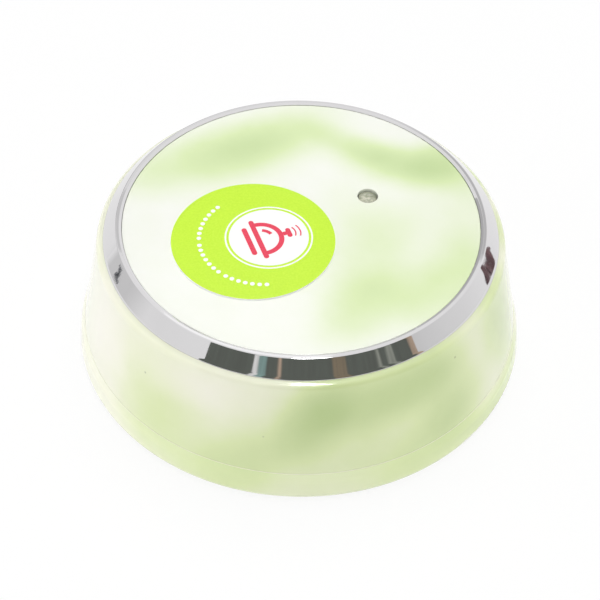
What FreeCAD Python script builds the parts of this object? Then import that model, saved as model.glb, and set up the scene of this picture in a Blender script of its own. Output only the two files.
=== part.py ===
import FreeCAD, Part
import math
import os

# Round wireless call button for a table. Millimetres, +Z up, origin at the centre of the
# footprint on the table, under the rubber feet. +X is to the right and -Y to the front.
# The whole top disc is the button. It rides on three guide posts and three springs, and its
# central boss pushes the plunger of a switch on the circuit board.

# ---- driving dimensions -------------------------------------------------------------------

BASE_RADIUS = 38.0            # casing radius at the table, before its corner is rounded
FOOT_STAND_OFF = 0.5          # how far the rubber feet lift the casing
BAND_TOP = 5.06               # the wall stands on the proud band at this height
BAND_TOP_RADIUS = 37.3        # where the band's outside would be at that height
BAND_STEP = 0.42              # how far that stands out from the wall
BAND_BEND = 4.3               # from here up the band leans in towards the wall
LAP_TOP = 5.8                 # the band's thin edge laps up into a rebate in the wall
LAP_DEPTH = 0.45
BODY_TOP = 23.15              # top of the casing, where the chrome ring sits
BODY_TOP_RADIUS = 33.44       # where wall and top would meet, before the shoulder is rounded
SHOULDER_ROUND = 1.5
WALL = 2.0

RIM_TOP = 25.82               # flat bright rim of the chrome ring
RIM_RADIUS = 30.25            # sharp outer edge of that rim
WELL_RADIUS = 29.55           # inner wall of the ring, round the disc
SKIRT_RADIUS = 31.0           # outside of the ring's hidden skirt
BEVEL_FOOT = (32.44, 23.40)   # radius and height where the bevel ends above the lip
LIP_BULGE = (32.50, 23.27)
LIP_FOOT_RADIUS = 32.48

DECK_TOP = 20.5               # floor of the well under the disc
DECK_BOTTOM = 18.5

DISC_TOP = 25.55
DISC_RADIUS = 29.25
DISC_THICKNESS = 2.0
DISC_TRAVEL = 0.8
PLUNGER_TRAVEL = 0.3
STOP_CLEARANCE = 0.05         # left between disc skirt and deck when fully pressed

GUIDE_CIRCLE = 24.4           # guide posts, their springs, washers and screws
GUIDE_ANGLE = 30
GUIDE_COUNT = 3
POST_RADIUS = 2.0
GUIDE_CLEARANCE = 0.05
SLEEVE_RADIUS = 3.4
SLEEVE_BOTTOM = 17.0

LAMP_X, LAMP_Y = 10.91, 6.24
LAMP_RADIUS = 1.5
LAMP_TOP = 25.45
LAMP_LENGTH = 5.55            # lens and flange without the leads
LAMP_DOME_HEIGHT = 0.6
LAMP_HOLE_RADIUS = 1.72

LABEL_X, LABEL_Y = -7.7, -4.97
LABEL_RADIUS = 13.3
LABEL_THICKNESS = 0.35

BOARD_RADIUS = 21.2
BOARD_BOTTOM = 14.5
BOARD_THICKNESS = 1.6
BOARD_SCREW_CIRCLE = 18.5
BOARD_SCREW_ANGLE = 90
BOARD_SCREW_COUNT = 3

FLOOR_THICKNESS = 1.8
CASE_SCREW_CIRCLE = 29.0
CASE_SCREW_ANGLE = 45
CASE_SCREW_COUNT = 4
FOOT_CIRCLE = 29.5
FOOT_RADIUS = 4.0
FOOT_COUNT = 4
FOOT_SUNK = 0.8

BATTERY_LENGTH = 28.5         # 12 V cell of size 23A
BATTERY_RADIUS = 5.15
BATTERY_END = 16.55           # x of its positive end
BATTERY_AXIS_Z = 7.75

BAY_HALF_LENGTH = 17.4        # inner size of the battery bay
BAY_HALF_WIDTH = 5.7
BAY_WALL_TOP = 12.0
BAY_END_WALL = 1.2
DOOR_HALF_WIDTH = 6.5
DOOR_THICKNESS = 1.5
DOOR_GAP = 0.25
DOOR_TIP = 19.6               # x of the door's free end
HINGE_X, HINGE_Z = -21.0, 2.4
KNUCKLE_RADIUS = 1.9
PIN_RADIUS = 0.8
PIN_CLEARANCE = 0.06

# ---- levels worked out from them ----------------------------------------------------------

UNDERSIDE = FOOT_STAND_OFF
FLOOR_TOP = UNDERSIDE + FLOOR_THICKNESS
DISC_BOTTOM = DISC_TOP - DISC_THICKNESS
SKIRT_BOTTOM = DECK_TOP + DISC_TRAVEL + STOP_CLEARANCE
BOARD_TOP = BOARD_BOTTOM + BOARD_THICKNESS
WALL_SLOPE = (BAND_TOP_RADIUS - BAND_STEP - BODY_TOP_RADIUS) / (BODY_TOP - BAND_TOP)
FREE_PLAY = DISC_TRAVEL - PLUNGER_TRAVEL
PLUNGER_TOP = BOARD_TOP + 4.3
BOSS_BOTTOM = PLUNGER_TOP + FREE_PLAY


# ---- helpers ------------------------------------------------------------------------------

def vec(x, y, z):
    return FreeCAD.Vector(x, y, z)


def cylinder(radius, z0, z1, x=0.0, y=0.0):
    return Part.makeCylinder(radius, z1 - z0, vec(x, y, z0))


def tube(outer, inner, z0, z1, x=0.0, y=0.0):
    return cylinder(outer, z0, z1, x, y).cut(cylinder(inner, z0, z1, x, y))


def cylinder_along(axis, radius, start, length):
    return Part.makeCylinder(radius, length, vec(*start), axis)


def box(x0, x1, y0, y1, z0, z1):
    return Part.makeBox(x1 - x0, y1 - y0, z1 - z0, vec(x0, y0, z0))


def box_at(x, y, width, depth, z0, z1):
    return box(x - width / 2, x + width / 2, y - depth / 2, y + depth / 2, z0, z1)


def circle_places(count, radius, first_angle):
    """x, y and angle of places spread evenly on a circle round Z."""
    places = []
    for i in range(count):
        angle = first_angle + 360 / count * i
        turn = math.radians(angle)
        places.append((radius * math.cos(turn), radius * math.sin(turn), angle))
    return places


GUIDES = circle_places(GUIDE_COUNT, GUIDE_CIRCLE, GUIDE_ANGLE)
BOARD_SCREWS = circle_places(BOARD_SCREW_COUNT, BOARD_SCREW_CIRCLE, BOARD_SCREW_ANGLE)
CASE_SCREWS = circle_places(CASE_SCREW_COUNT, CASE_SCREW_CIRCLE, CASE_SCREW_ANGLE)
FEET = circle_places(FOOT_COUNT, FOOT_CIRCLE, 0)


def revolved(profile):
    """Solid turned round Z from (radius, height) points; a third value marks an arc's middle."""
    edges = []
    count = len(profile)
    i = 0
    while i < count:
        start = vec(profile[i][0], 0, profile[i][1])
        following = profile[(i + 1) % count]
        if len(following) == 3:
            middle = vec(following[0], 0, following[1])
            end_point = profile[(i + 2) % count]
            end = vec(end_point[0], 0, end_point[1])
            edges.append(Part.Arc(start, middle, end).toShape())
            i += 2
        else:
            edges.append(Part.LineSegment(start, vec(following[0], 0, following[1])).toShape())
            i += 1
    face = Part.Face(Part.Wire(edges))
    return face.revolve(vec(0, 0, 0), vec(0, 0, 1), 360)


def round_circle_edges(shape, radius, z, amount, x=0.0, y=0.0):
    """Round the circular edges of a given radius whose centre is at x, y, z."""
    centre = vec(x, y, z)
    found = []
    for edge in shape.Edges:
        if isinstance(edge.Curve, Part.Circle) and abs(edge.Curve.Radius - radius) < 1e-3:
            if edge.Curve.Center.distanceToPoint(centre) < 1e-3:
                found.append(edge)
    return shape.makeFillet(amount, found)


def fused(shapes):
    shapes = list(shapes)
    whole = shapes[0]
    if len(shapes) > 1:
        whole = whole.multiFuse(shapes[1:])
    return whole.removeSplitter()


def radial_bar(angle, r0, r1, width, z0, z1):
    """Upright bar that runs outwards from the axis at an angle."""
    bar = box(r0, r1, -width / 2, width / 2, z0, z1)
    bar.rotate(vec(0, 0, 0), vec(0, 0, 1), angle)
    return bar


RUNS_PER_TURN = 16


def coil(radius, wire, pitch, height, end_radius=None):
    """Wire wound round Z from z = 0 in short straight runs; a different end radius makes it a cone."""
    end_radius = radius if end_radius is None else end_radius
    runs = round(RUNS_PER_TURN * height / pitch)
    points = []
    for i in range(runs + 1):
        share = i / runs
        turn = 2 * math.pi * height / pitch * share
        reach = radius + (end_radius - radius) * share
        points.append(vec(reach * math.cos(turn), reach * math.sin(turn), height * share))
    section = Part.Wire(Part.makeCircle(wire, points[0], points[1] - points[0]))
    return Part.makePolygon(points).makePipeShell([section], True, False, 1)


def write(name, shape):
    if not shape.isValid():
        print("NOT VALID", name)
    shape.exportStep("parts/" + name + ".step")
    print(f"{name:28s} solids {len(shape.Solids):2d}  volume {shape.Volume:9.2f}")


# ---- casing -------------------------------------------------------------------------------

def wall_radius(z):
    """Outside radius of the side wall at a height."""
    return BODY_TOP_RADIUS + (BODY_TOP - z) * WALL_SLOPE


LAP_RADIUS = wall_radius(BAND_TOP) - LAP_DEPTH
CASE_BOSS_RADIUS = 2.8
CASE_BOSS_FOOT = 4.65
BOSS_RIB_FOOT = 12.0          # ribs tie the case screw bosses to the wall above this height
BOSS_RIB_END = 33.8           # radius at which a rib is buried in the wall
RIB_WIDTH = 1.2
BOARD_BOSS_RADIUS = 2.6
LAMP_DECK_HOLE = 2.4
SWITCH_DECK_HOLE = 5.0
SPRING_POCKET_DEPTH = 1.0
SMALL_SCREW_RADIUS = 0.85     # screws of the board and of the disc
CASE_SCREW_RADIUS = 1.1
PILOT_CLEARANCE = 0.05
RING_CLEARANCE = 0.15


def body_shell():
    """Tapering wall, rounded shoulder and the deck with sleeves, pockets and bosses."""
    shell = revolved([
        (0, DECK_BOTTOM),
        (wall_radius(DECK_BOTTOM) - WALL, DECK_BOTTOM),
        (wall_radius(BAND_TOP) - WALL, BAND_TOP),
        (LAP_RADIUS, BAND_TOP),
        (LAP_RADIUS, LAP_TOP),
        (wall_radius(LAP_TOP), LAP_TOP),
        (BODY_TOP_RADIUS, BODY_TOP),
        (SKIRT_RADIUS + RING_CLEARANCE, BODY_TOP),
        (SKIRT_RADIUS + RING_CLEARANCE, DECK_TOP),
        (0, DECK_TOP),
    ])
    shell = round_circle_edges(shell, BODY_TOP_RADIUS, BODY_TOP, SHOULDER_ROUND)
    added = [shell]
    for x, y, angle in GUIDES:
        added.append(cylinder(SLEEVE_RADIUS, SLEEVE_BOTTOM, DECK_TOP, x, y))
    for x, y, angle in BOARD_SCREWS:
        added.append(cylinder(BOARD_BOSS_RADIUS, BOARD_TOP, DECK_TOP, x, y))
    for x, y, angle in CASE_SCREWS:
        added.append(cylinder(CASE_BOSS_RADIUS, CASE_BOSS_FOOT, DECK_TOP, x, y))
        added.append(radial_bar(angle, CASE_SCREW_CIRCLE + 2, BOSS_RIB_END, RIB_WIDTH,
                                BOSS_RIB_FOOT, DECK_TOP - 1))
    shell = fused(added)
    holes = [cylinder(SWITCH_DECK_HOLE, DECK_BOTTOM, DECK_TOP)]
    holes.append(cylinder(LAMP_DECK_HOLE, DECK_BOTTOM, DECK_TOP, LAMP_X, LAMP_Y))
    for x, y, angle in GUIDES:
        holes.append(cylinder(POST_RADIUS + GUIDE_CLEARANCE, SLEEVE_BOTTOM, DECK_TOP, x, y))
        holes.append(cylinder(SLEEVE_RADIUS, DECK_TOP - SPRING_POCKET_DEPTH, DECK_TOP, x, y))
    for x, y, angle in BOARD_SCREWS:
        holes.append(cylinder(SMALL_SCREW_RADIUS + PILOT_CLEARANCE, BOARD_TOP, DECK_TOP - 0.8, x, y))
    for x, y, angle in CASE_SCREWS:
        pilot = CASE_SCREW_RADIUS + PILOT_CLEARANCE
        holes.append(cylinder(pilot, CASE_BOSS_FOOT, CASE_BOSS_FOOT + 9.0, x, y))
    return shell.cut(Part.makeCompound(holes))


RING_FOOT = DECK_TOP + 0.1
RIM_OUTER_ROUND, RIM_INNER_ROUND = 0.22, 0.12


def chrome_ring():
    """Plated ring: flat rim, bevel and rounded lip outside, skirt down to the deck inside."""
    ring = revolved([
        (WELL_RADIUS, RING_FOOT),
        (SKIRT_RADIUS, RING_FOOT),
        (SKIRT_RADIUS, BODY_TOP),
        (LIP_FOOT_RADIUS, BODY_TOP),
        (LIP_BULGE[0], LIP_BULGE[1], "arc"),
        BEVEL_FOOT,
        (RIM_RADIUS, RIM_TOP),
        (WELL_RADIUS, RIM_TOP),
    ])
    ring = round_circle_edges(ring, RIM_RADIUS, RIM_TOP, RIM_OUTER_ROUND)
    return round_circle_edges(ring, WELL_RADIUS, RIM_TOP, RIM_INNER_ROUND)


BASE_CORNER_ROUND = 1.2
BAND_BEND_ROUND = 3.0
LAP_GAP, LAP_PROUD, LAP_CLEARANCE = 0.02, 0.04, 0.06
LIP_OUTER, LIP_INNER, LIP_TOP = 34.2, 32.9, 7.2   # locating lip inside the wall
CASE_SCREW_SEAT = 2.7
HEAD_RECESS_RADIUS = 2.6
SCREW_PAD_RADIUS = 3.6
STIFFENER_START, STIFFENER_HEIGHT = 24.0, 1.4
BAY_SIDE_WALL = 1.9
CHEEK_HALF_WIDTH = 9.0
CHEEK_HALF_LENGTH = 2.3
SOCKET_HALF_WIDTH = 8.2
DOOR_TOP_GAP = 0.15           # between the door and the bay's walls above it
LATCH_POCKET_HALF_WIDTH = 3.2
FINGER_SCOOP_RADIUS, FINGER_SCOOP_DEPTH = 9.0, 0.8


def base_cover():
    """Underside with the proud band, battery bay, hinge cheeks and recesses for the feet."""
    band_slope = (BASE_RADIUS - BAND_TOP_RADIUS) / (BAND_TOP - UNDERSIDE)
    bend_radius = BASE_RADIUS - band_slope * (BAND_BEND - UNDERSIDE)
    lap_end = LAP_TOP - LAP_GAP
    cover = revolved([
        (0, UNDERSIDE),
        (BASE_RADIUS, UNDERSIDE),
        (bend_radius, BAND_BEND),
        (wall_radius(lap_end) + LAP_PROUD, lap_end),
        (LAP_RADIUS + LAP_CLEARANCE, lap_end),
        (LAP_RADIUS + LAP_CLEARANCE, BAND_TOP),
        (LIP_OUTER, BAND_TOP),
        (LIP_OUTER, LIP_TOP),
        (LIP_INNER, LIP_TOP),
        (LIP_INNER, FLOOR_TOP),
        (0, FLOOR_TOP),
    ])
    cover = round_circle_edges(cover, BASE_RADIUS, UNDERSIDE, BASE_CORNER_ROUND)
    cover = round_circle_edges(cover, bend_radius, BAND_BEND, BAND_BEND_ROUND)
    added = [cover]
    for x, y, angle in CASE_SCREWS:
        added.append(cylinder(SCREW_PAD_RADIUS, UNDERSIDE, CASE_BOSS_FOOT - 0.05, x, y))
    for x, y, angle in FEET:
        added.append(cylinder(FOOT_RADIUS + 1.1, UNDERSIDE, FLOOR_TOP + 0.6, x, y))
    for angle in range(0, 360, 30):
        if angle % 90 != 0:
            added.append(radial_bar(angle, STIFFENER_START, LIP_INNER + 0.5, RIB_WIDTH,
                                    UNDERSIDE + 1, FLOOR_TOP + STIFFENER_HEIGHT))
    opening = DOOR_HALF_WIDTH + DOOR_GAP
    wall_out = BAY_HALF_WIDTH + BAY_SIDE_WALL
    for side in (-1, 1):
        near, far = sorted((side * BAY_HALF_WIDTH, side * wall_out))
        added.append(box(-BAY_HALF_LENGTH - BAY_END_WALL, DOOR_TIP + 1.6, near, far, UNDERSIDE, BAY_WALL_TOP))
        near, far = sorted((side * BAY_HALF_LENGTH, side * (BAY_HALF_LENGTH + BAY_END_WALL)))
        added.append(box(near, far, -wall_out, wall_out, UNDERSIDE, BAY_WALL_TOP))
        near, far = sorted((side * opening, side * CHEEK_HALF_WIDTH))
        added.append(box(HINGE_X - CHEEK_HALF_LENGTH, HINGE_X + CHEEK_HALF_LENGTH, near, far,
                         UNDERSIDE, HINGE_Z + CHEEK_HALF_LENGTH))
    cover = fused(added)
    across = vec(0, 1, 0)
    swing = KNUCKLE_RADIUS + DOOR_GAP
    latch_end = DOOR_TIP + 0.3
    scoop_z = UNDERSIDE + FINGER_SCOOP_DEPTH - FINGER_SCOOP_RADIUS
    scoop_start = (DOOR_TIP + 2.6, -LATCH_POCKET_HALF_WIDTH, scoop_z)
    cuts = [
        box(HINGE_X, latch_end, -opening, opening, UNDERSIDE, UNDERSIDE + DOOR_THICKNESS + DOOR_TOP_GAP),
        box(-BAY_HALF_LENGTH, BAY_HALF_LENGTH, -BAY_HALF_WIDTH, BAY_HALF_WIDTH, UNDERSIDE, BAY_WALL_TOP),
        cylinder_along(across, swing, (HINGE_X, -opening, HINGE_Z), 2 * opening),
        box(HINGE_X - swing, HINGE_X, -opening, opening, UNDERSIDE, HINGE_Z),
        cylinder_along(across, PIN_RADIUS + PIN_CLEARANCE, (HINGE_X, -SOCKET_HALF_WIDTH, HINGE_Z),
                       2 * SOCKET_HALF_WIDTH),
        box(DOOR_TIP - 1.0, latch_end, -LATCH_POCKET_HALF_WIDTH, LATCH_POCKET_HALF_WIDTH,
            UNDERSIDE, FLOOR_TOP + 2.2),
        cylinder_along(across, FINGER_SCOOP_RADIUS, scoop_start, 2 * LATCH_POCKET_HALF_WIDTH),
    ]
    for x, y, angle in CASE_SCREWS:
        cuts.append(cylinder(HEAD_RECESS_RADIUS, UNDERSIDE, CASE_SCREW_SEAT, x, y))
        cuts.append(cylinder(CASE_SCREW_RADIUS + 0.35, UNDERSIDE, CASE_BOSS_FOOT, x, y))
    for x, y, angle in FEET:
        cuts.append(cylinder(FOOT_RADIUS + 0.1, UNDERSIDE, UNDERSIDE + FOOT_SUNK, x, y))
    return cover.cut(Part.makeCompound(cuts))


FOOT_EDGE_ROUND = 0.35


def rubber_feet():
    feet = []
    for x, y, angle in FEET:
        foot = cylinder(FOOT_RADIUS, 0, UNDERSIDE + FOOT_SUNK, x, y)
        feet.append(round_circle_edges(foot, FOOT_RADIUS, 0, FOOT_EDGE_ROUND, x, y))
    return Part.makeCompound(feet)


# ---- the disc that is pressed -------------------------------------------------------------

DISC_SKIRT_WALL = 1.6
DISC_EDGE_ROUND = 0.12
DISC_RIB_DEPTH = 1.5
BOSS_RADIUS = 2.4
POST_FOOT = SLEEVE_BOTTOM - 0.05
POST_PILOT_DEPTH = 6.3
INTO_DISC = DISC_TOP - 1      # level inside the disc up to which posts and ribs are carried


def press_plate():
    """Top disc with stiffening ribs, central boss and three guide posts."""
    plate = revolved([
        (0, DISC_TOP),
        (DISC_RADIUS, DISC_TOP),
        (DISC_RADIUS, SKIRT_BOTTOM),
        (DISC_RADIUS - DISC_SKIRT_WALL, SKIRT_BOTTOM),
        (DISC_RADIUS - DISC_SKIRT_WALL, DISC_BOTTOM),
        (0, DISC_BOTTOM),
    ])
    plate = round_circle_edges(plate, DISC_RADIUS, DISC_TOP, DISC_EDGE_ROUND)
    added = [plate, cylinder(BOSS_RADIUS, BOSS_BOTTOM, INTO_DISC)]
    for x, y, angle in GUIDES:
        added.append(cylinder(POST_RADIUS, POST_FOOT, INTO_DISC, x, y))
    for angle in range(0, 360, 60):
        added.append(radial_bar(angle, BOSS_RADIUS - 0.4, DISC_RADIUS - 1, 1.0,
                                DISC_BOTTOM - DISC_RIB_DEPTH, INTO_DISC))
    plate = fused(added)
    holes = [cylinder(LAMP_HOLE_RADIUS, DISC_BOTTOM, DISC_TOP, LAMP_X, LAMP_Y)]
    for x, y, angle in GUIDES:
        pilot = SMALL_SCREW_RADIUS + PILOT_CLEARANCE
        holes.append(cylinder(pilot, POST_FOOT, POST_FOOT + POST_PILOT_DEPTH, x, y))
    return plate.cut(Part.makeCompound(holes))


LABEL_EDGE_ROUND = 0.12


def label():
    top = DISC_TOP + LABEL_THICKNESS
    sticker = cylinder(LABEL_RADIUS, DISC_TOP, top, LABEL_X, LABEL_Y)
    return round_circle_edges(sticker, LABEL_RADIUS, top, LABEL_EDGE_ROUND, LABEL_X, LABEL_Y)


def pan_screw(x, y, seat, head_radius, head_height, shank_radius, length):
    """Cross-headed screw put in from below: the head's seat is at z = seat, the shank above it."""
    head = cylinder(head_radius, seat - head_height, seat, x, y)
    head = round_circle_edges(head, head_radius, seat - head_height, head_height * 0.55, x, y)
    shank = cylinder(shank_radius, seat - 0.2, seat + length, x, y)
    shank = round_circle_edges(shank, shank_radius, seat + length, shank_radius * 0.7, x, y)
    slot = head_radius * 1.2
    recess = fused([
        box_at(x, y, slot, slot * 0.26, seat - head_height, seat - head_height * 0.45),
        box_at(x, y, slot * 0.26, slot, seat - head_height, seat - head_height * 0.45),
    ])
    return fused([head, shank]).cut(recess)


SMALL_HEAD_RADIUS, SMALL_HEAD_HEIGHT = 1.9, 1.4
WASHER_RADIUS, WASHER_HOLE, WASHER_THICKNESS = 2.8, 1.0, 0.6
WASHER_BOTTOM = POST_FOOT - WASHER_THICKNESS
PLATE_SCREW_LENGTH = 6.0


def plate_washers():
    return Part.makeCompound([tube(WASHER_RADIUS, WASHER_HOLE, WASHER_BOTTOM, POST_FOOT, x, y)
                              for x, y, angle in GUIDES])


def plate_screws():
    return Part.makeCompound([pan_screw(x, y, WASHER_BOTTOM, SMALL_HEAD_RADIUS, SMALL_HEAD_HEIGHT,
                                        SMALL_SCREW_RADIUS, PLATE_SCREW_LENGTH)
                              for x, y, angle in GUIDES])


SPRING_RADIUS = 2.65          # to the middle of the wire
SPRING_WIRE = 0.25            # wire radius
SPRING_TURNS = 3.5
SPRING_END_GAP = 0.05


def return_springs():
    """One open coil round each guide post, between the deck's pocket and the disc."""
    floor = DECK_TOP - SPRING_POCKET_DEPTH
    end = SPRING_WIRE + SPRING_END_GAP
    height = DISC_BOTTOM - floor - 2 * end
    springs = []
    for x, y, angle in GUIDES:
        spring = coil(SPRING_RADIUS, SPRING_WIRE, height / SPRING_TURNS, height)
        spring.translate(vec(x, y, floor + end))
        springs.append(spring)
    return Part.makeCompound(springs)


# ---- board and what is soldered to it -----------------------------------------------------

SWITCH_HALF = 3.0
SWITCH_BODY_TOP = BOARD_TOP + 3.2
PLUNGER_RADIUS = 1.7
LEAD_TIP = BOARD_BOTTOM - 0.9
SWITCH_LEGS = [(side_x * 3.2, side_y * 2.25) for side_x in (-1, 1) for side_y in (-1, 1)]
LAMP_LEGS = [(LAMP_X + side * 1.0, LAMP_Y) for side in (-1, 1)]
SWITCH_PLATE = 0.3
LAMP_FLANGE_BOTTOM = LAMP_TOP - LAMP_LENGTH


def circuit_board():
    board = cylinder(BOARD_RADIUS, BOARD_BOTTOM, BOARD_TOP)
    holes = []
    for x, y, angle in BOARD_SCREWS:
        holes.append(cylinder(1.2, BOARD_BOTTOM, BOARD_TOP, x, y))
    for x, y in SWITCH_LEGS:
        holes.append(cylinder(0.55, BOARD_BOTTOM, BOARD_TOP, x, y))
    for x, y in LAMP_LEGS:
        holes.append(cylinder(0.45, BOARD_BOTTOM, BOARD_TOP, x, y))
    for x in (POSITIVE_PLATE_X, NEGATIVE_PLATE_X):
        holes.append(box_at(x, 0, 0.9, 2.4, BOARD_BOTTOM, BOARD_TOP))
    return board.cut(Part.makeCompound(holes))


BOARD_SCREW_LENGTH = 4.6


def board_screws():
    return Part.makeCompound([pan_screw(x, y, BOARD_BOTTOM, SMALL_HEAD_RADIUS, SMALL_HEAD_HEIGHT,
                                        SMALL_SCREW_RADIUS, BOARD_SCREW_LENGTH)
                              for x, y, angle in BOARD_SCREWS])


def tact_switch_housing():
    body = box_at(0, 0, 2 * SWITCH_HALF, 2 * SWITCH_HALF, BOARD_TOP, SWITCH_BODY_TOP)
    bore = cylinder(PLUNGER_RADIUS + 0.05, BOARD_TOP + 2.4, SWITCH_BODY_TOP)
    return body.cut(bore)


def tact_switch_cover():
    """Thin metal plate over the switch, with a clip down each side."""
    top = SWITCH_BODY_TOP + SWITCH_PLATE
    plate = box_at(0, 0, 2 * SWITCH_HALF, 2 * SWITCH_HALF, SWITCH_BODY_TOP, top)
    pieces = [plate.cut(cylinder(PLUNGER_RADIUS + 0.1, SWITCH_BODY_TOP, top))]
    for side in (-1, 1):
        near, far = sorted((side * SWITCH_HALF, side * (SWITCH_HALF + 0.2)))
        pieces.append(box(near, far, -0.9, 0.9, BOARD_TOP + 1.2, top))
    return fused(pieces)


def tact_switch_button():
    plunger = cylinder(PLUNGER_RADIUS, BOARD_TOP + 2.8, PLUNGER_TOP)
    return round_circle_edges(plunger, PLUNGER_RADIUS, PLUNGER_TOP, 0.2)


def tact_switch_terminals():
    legs = []
    for x, y in SWITCH_LEGS:
        near, far = sorted((math.copysign(SWITCH_HALF, x), x + math.copysign(0.15, x)))
        shoulder = box(near, far, y - 0.35, y + 0.35, BOARD_TOP + 0.4, BOARD_TOP + 0.9)
        legs.append(fused([shoulder, box_at(x, y, 0.3, 0.7, LEAD_TIP, BOARD_TOP + 0.9)]))
    return Part.makeCompound(legs)


def indicator_led():
    """Clear 3 mm lamp: flange and barrel, whose upper end is rounded into a low dome."""
    dome_radius = (LAMP_RADIUS ** 2 + LAMP_DOME_HEIGHT ** 2) / (2 * LAMP_DOME_HEIGHT)
    flange = cylinder(1.9, LAMP_FLANGE_BOTTOM, LAMP_FLANGE_BOTTOM + 1.0, LAMP_X, LAMP_Y)
    barrel = cylinder(LAMP_RADIUS, LAMP_TOP - dome_radius, LAMP_TOP, LAMP_X, LAMP_Y)
    dome = barrel.common(Part.makeSphere(dome_radius, vec(LAMP_X, LAMP_Y, LAMP_TOP - dome_radius)))
    foot = cylinder(LAMP_RADIUS, LAMP_FLANGE_BOTTOM, LAMP_TOP - dome_radius, LAMP_X, LAMP_Y)
    return fused([flange, foot, dome])


def led_spacer():
    return tube(2.0, 1.45, BOARD_TOP, LAMP_FLANGE_BOTTOM, LAMP_X, LAMP_Y)


def led_leads():
    return Part.makeCompound([box_at(x, y, 0.5, 0.5, LEAD_TIP, LAMP_FLANGE_BOTTOM) for x, y in LAMP_LEGS])


CHIP_Y = -14.0
CHIP_LENGTH, CHIP_WIDTH, CHIP_HEIGHT = 11.6, 7.4, 2.3
CHIP_TOP = BOARD_BOTTOM - 0.15
CHIP_PIN_PITCH = 1.27
CHIP_PINS_A_SIDE = 9


def encoder_chip():
    """Encoder in a flat case under the board, with its pin-one dimple."""
    low = CHIP_TOP - CHIP_HEIGHT
    body = box_at(0, CHIP_Y, CHIP_LENGTH, CHIP_WIDTH, low, CHIP_TOP)
    return body.cut(cylinder(0.6, low, low + 0.2, 1.2 - CHIP_LENGTH / 2, CHIP_Y + 1.2 - CHIP_WIDTH / 2))


def encoder_chip_pins():
    """Gull-wing pins: out of the case, up to the board and a short toe along it."""
    bend = CHIP_WIDTH / 2 + 0.8
    pins = []
    for side in (-1, 1):
        for i in range(CHIP_PINS_A_SIDE):
            x = (i - (CHIP_PINS_A_SIDE - 1) / 2) * CHIP_PIN_PITCH
            y_out = CHIP_Y + side * bend
            arm = sorted((CHIP_Y + side * CHIP_WIDTH / 2, y_out))
            toe = sorted((y_out - side * 0.2, y_out + side * 0.5))
            pins.append(fused([
                box(x - 0.2, x + 0.2, arm[0], arm[1], CHIP_TOP - 1.3, CHIP_TOP - 1.05),
                box_at(x, y_out - side * 0.1, 0.4, 0.2, CHIP_TOP - 1.3, BOARD_BOTTOM),
                box(x - 0.2, x + 0.2, toe[0], toe[1], BOARD_BOTTOM - 0.25, BOARD_BOTTOM),
            ]))
    return Part.makeCompound(pins)


RESONATOR_X, RESONATOR_Y = 9.6, 12.6
CAN_RADIUS, CAN_FLANGE_RADIUS, CAN_HEIGHT = 4.2, 4.65, 3.2


def saw_resonator():
    """Round metal can with a flange, hanging under the board."""
    x, y = RESONATOR_X, RESONATOR_Y
    top = BOARD_BOTTOM - 0.2
    can = fused([
        cylinder(CAN_RADIUS, top - CAN_HEIGHT, top, x, y),
        cylinder(CAN_FLANGE_RADIUS, top - 0.5, top, x, y),
    ])
    can = round_circle_edges(can, CAN_RADIUS, top - CAN_HEIGHT, 0.5, x, y)
    stubs = [cylinder(0.25, top - 0.1, BOARD_BOTTOM, x + dx, y + dy)
             for dx, dy in ((2.5, 0), (-2.5, 0), (0, 2.5))]
    return fused([can] + stubs)


TRANSISTORS = [(-13.0, 2.0), (-13.0, -3.0)]
RESISTORS = [(x, -12.0) for x in (-9.0, -5.4, -1.8, 1.8, 5.4, 9.0)]
CAPACITORS = [(x, 11.0) for x in (-9.0, -5.0, -1.0)]
CHIP_PART_LENGTH, CHIP_PART_WIDTH = 2.0, 1.25


def rf_transistors():
    """Two small three-legged transistors on top of the board."""
    transistors = []
    for x, y in TRANSISTORS:
        parts = [box_at(x, y, 1.3, 2.9, BOARD_TOP + 0.1, BOARD_TOP + 1.1)]
        for dx, dy in ((-0.95, -0.95), (-0.95, 0.95), (0.95, 0)):
            parts.append(box_at(x + dx, y + dy, 0.75, 0.4, BOARD_TOP, BOARD_TOP + 0.25))
        transistors.append(fused(parts))
    return Part.makeCompound(transistors)


def chip_row(places, height):
    """A row of small block-shaped parts standing on the board."""
    return Part.makeCompound([box_at(x, y, CHIP_PART_LENGTH, CHIP_PART_WIDTH, BOARD_TOP, BOARD_TOP + height)
                              for x, y in places])


ANTENNA_X, ANTENNA_Y, ANTENNA_Z = -14.5, 12.5, BOARD_BOTTOM - 3.4
ANTENNA_RADIUS, ANTENNA_WIRE = 2.0, 0.3
ANTENNA_PITCH, ANTENNA_TURNS = 1.4, 8


def antenna_coil():
    """Short copper coil along X under the board, with a leg up to the board at each end."""
    length = ANTENNA_PITCH * ANTENNA_TURNS
    winding = coil(ANTENNA_RADIUS, ANTENNA_WIRE, ANTENNA_PITCH, length)
    winding.rotate(vec(0, 0, 0), vec(0, 1, 0), 90)
    winding.translate(vec(ANTENNA_X, ANTENNA_Y, ANTENNA_Z))
    low = ANTENNA_Z - ANTENNA_RADIUS
    legs = [cylinder(ANTENNA_WIRE, low, BOARD_BOTTOM, x, ANTENNA_Y) for x in (ANTENNA_X, ANTENNA_X + length)]
    return fused([winding] + legs)


# ---- battery, its contacts and its door ---------------------------------------------------

POSITIVE_PLATE_X = BAY_HALF_LENGTH - 0.3
NEGATIVE_PLATE_X = 0.3 - BAY_HALF_LENGTH
CONTACT_PLATE = 0.4
CONTACT_HALF_WIDTH = 4.6
TERMINAL_RADIUS, TERMINAL_HEIGHT = 2.6, 0.9
CAN_EDGE_ROUND = 0.5
CONTACT_SPRING_WIRE = 0.3
CONTACT_SPRING_FOOT, CONTACT_SPRING_TIP = 3.6, 2.2


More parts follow.
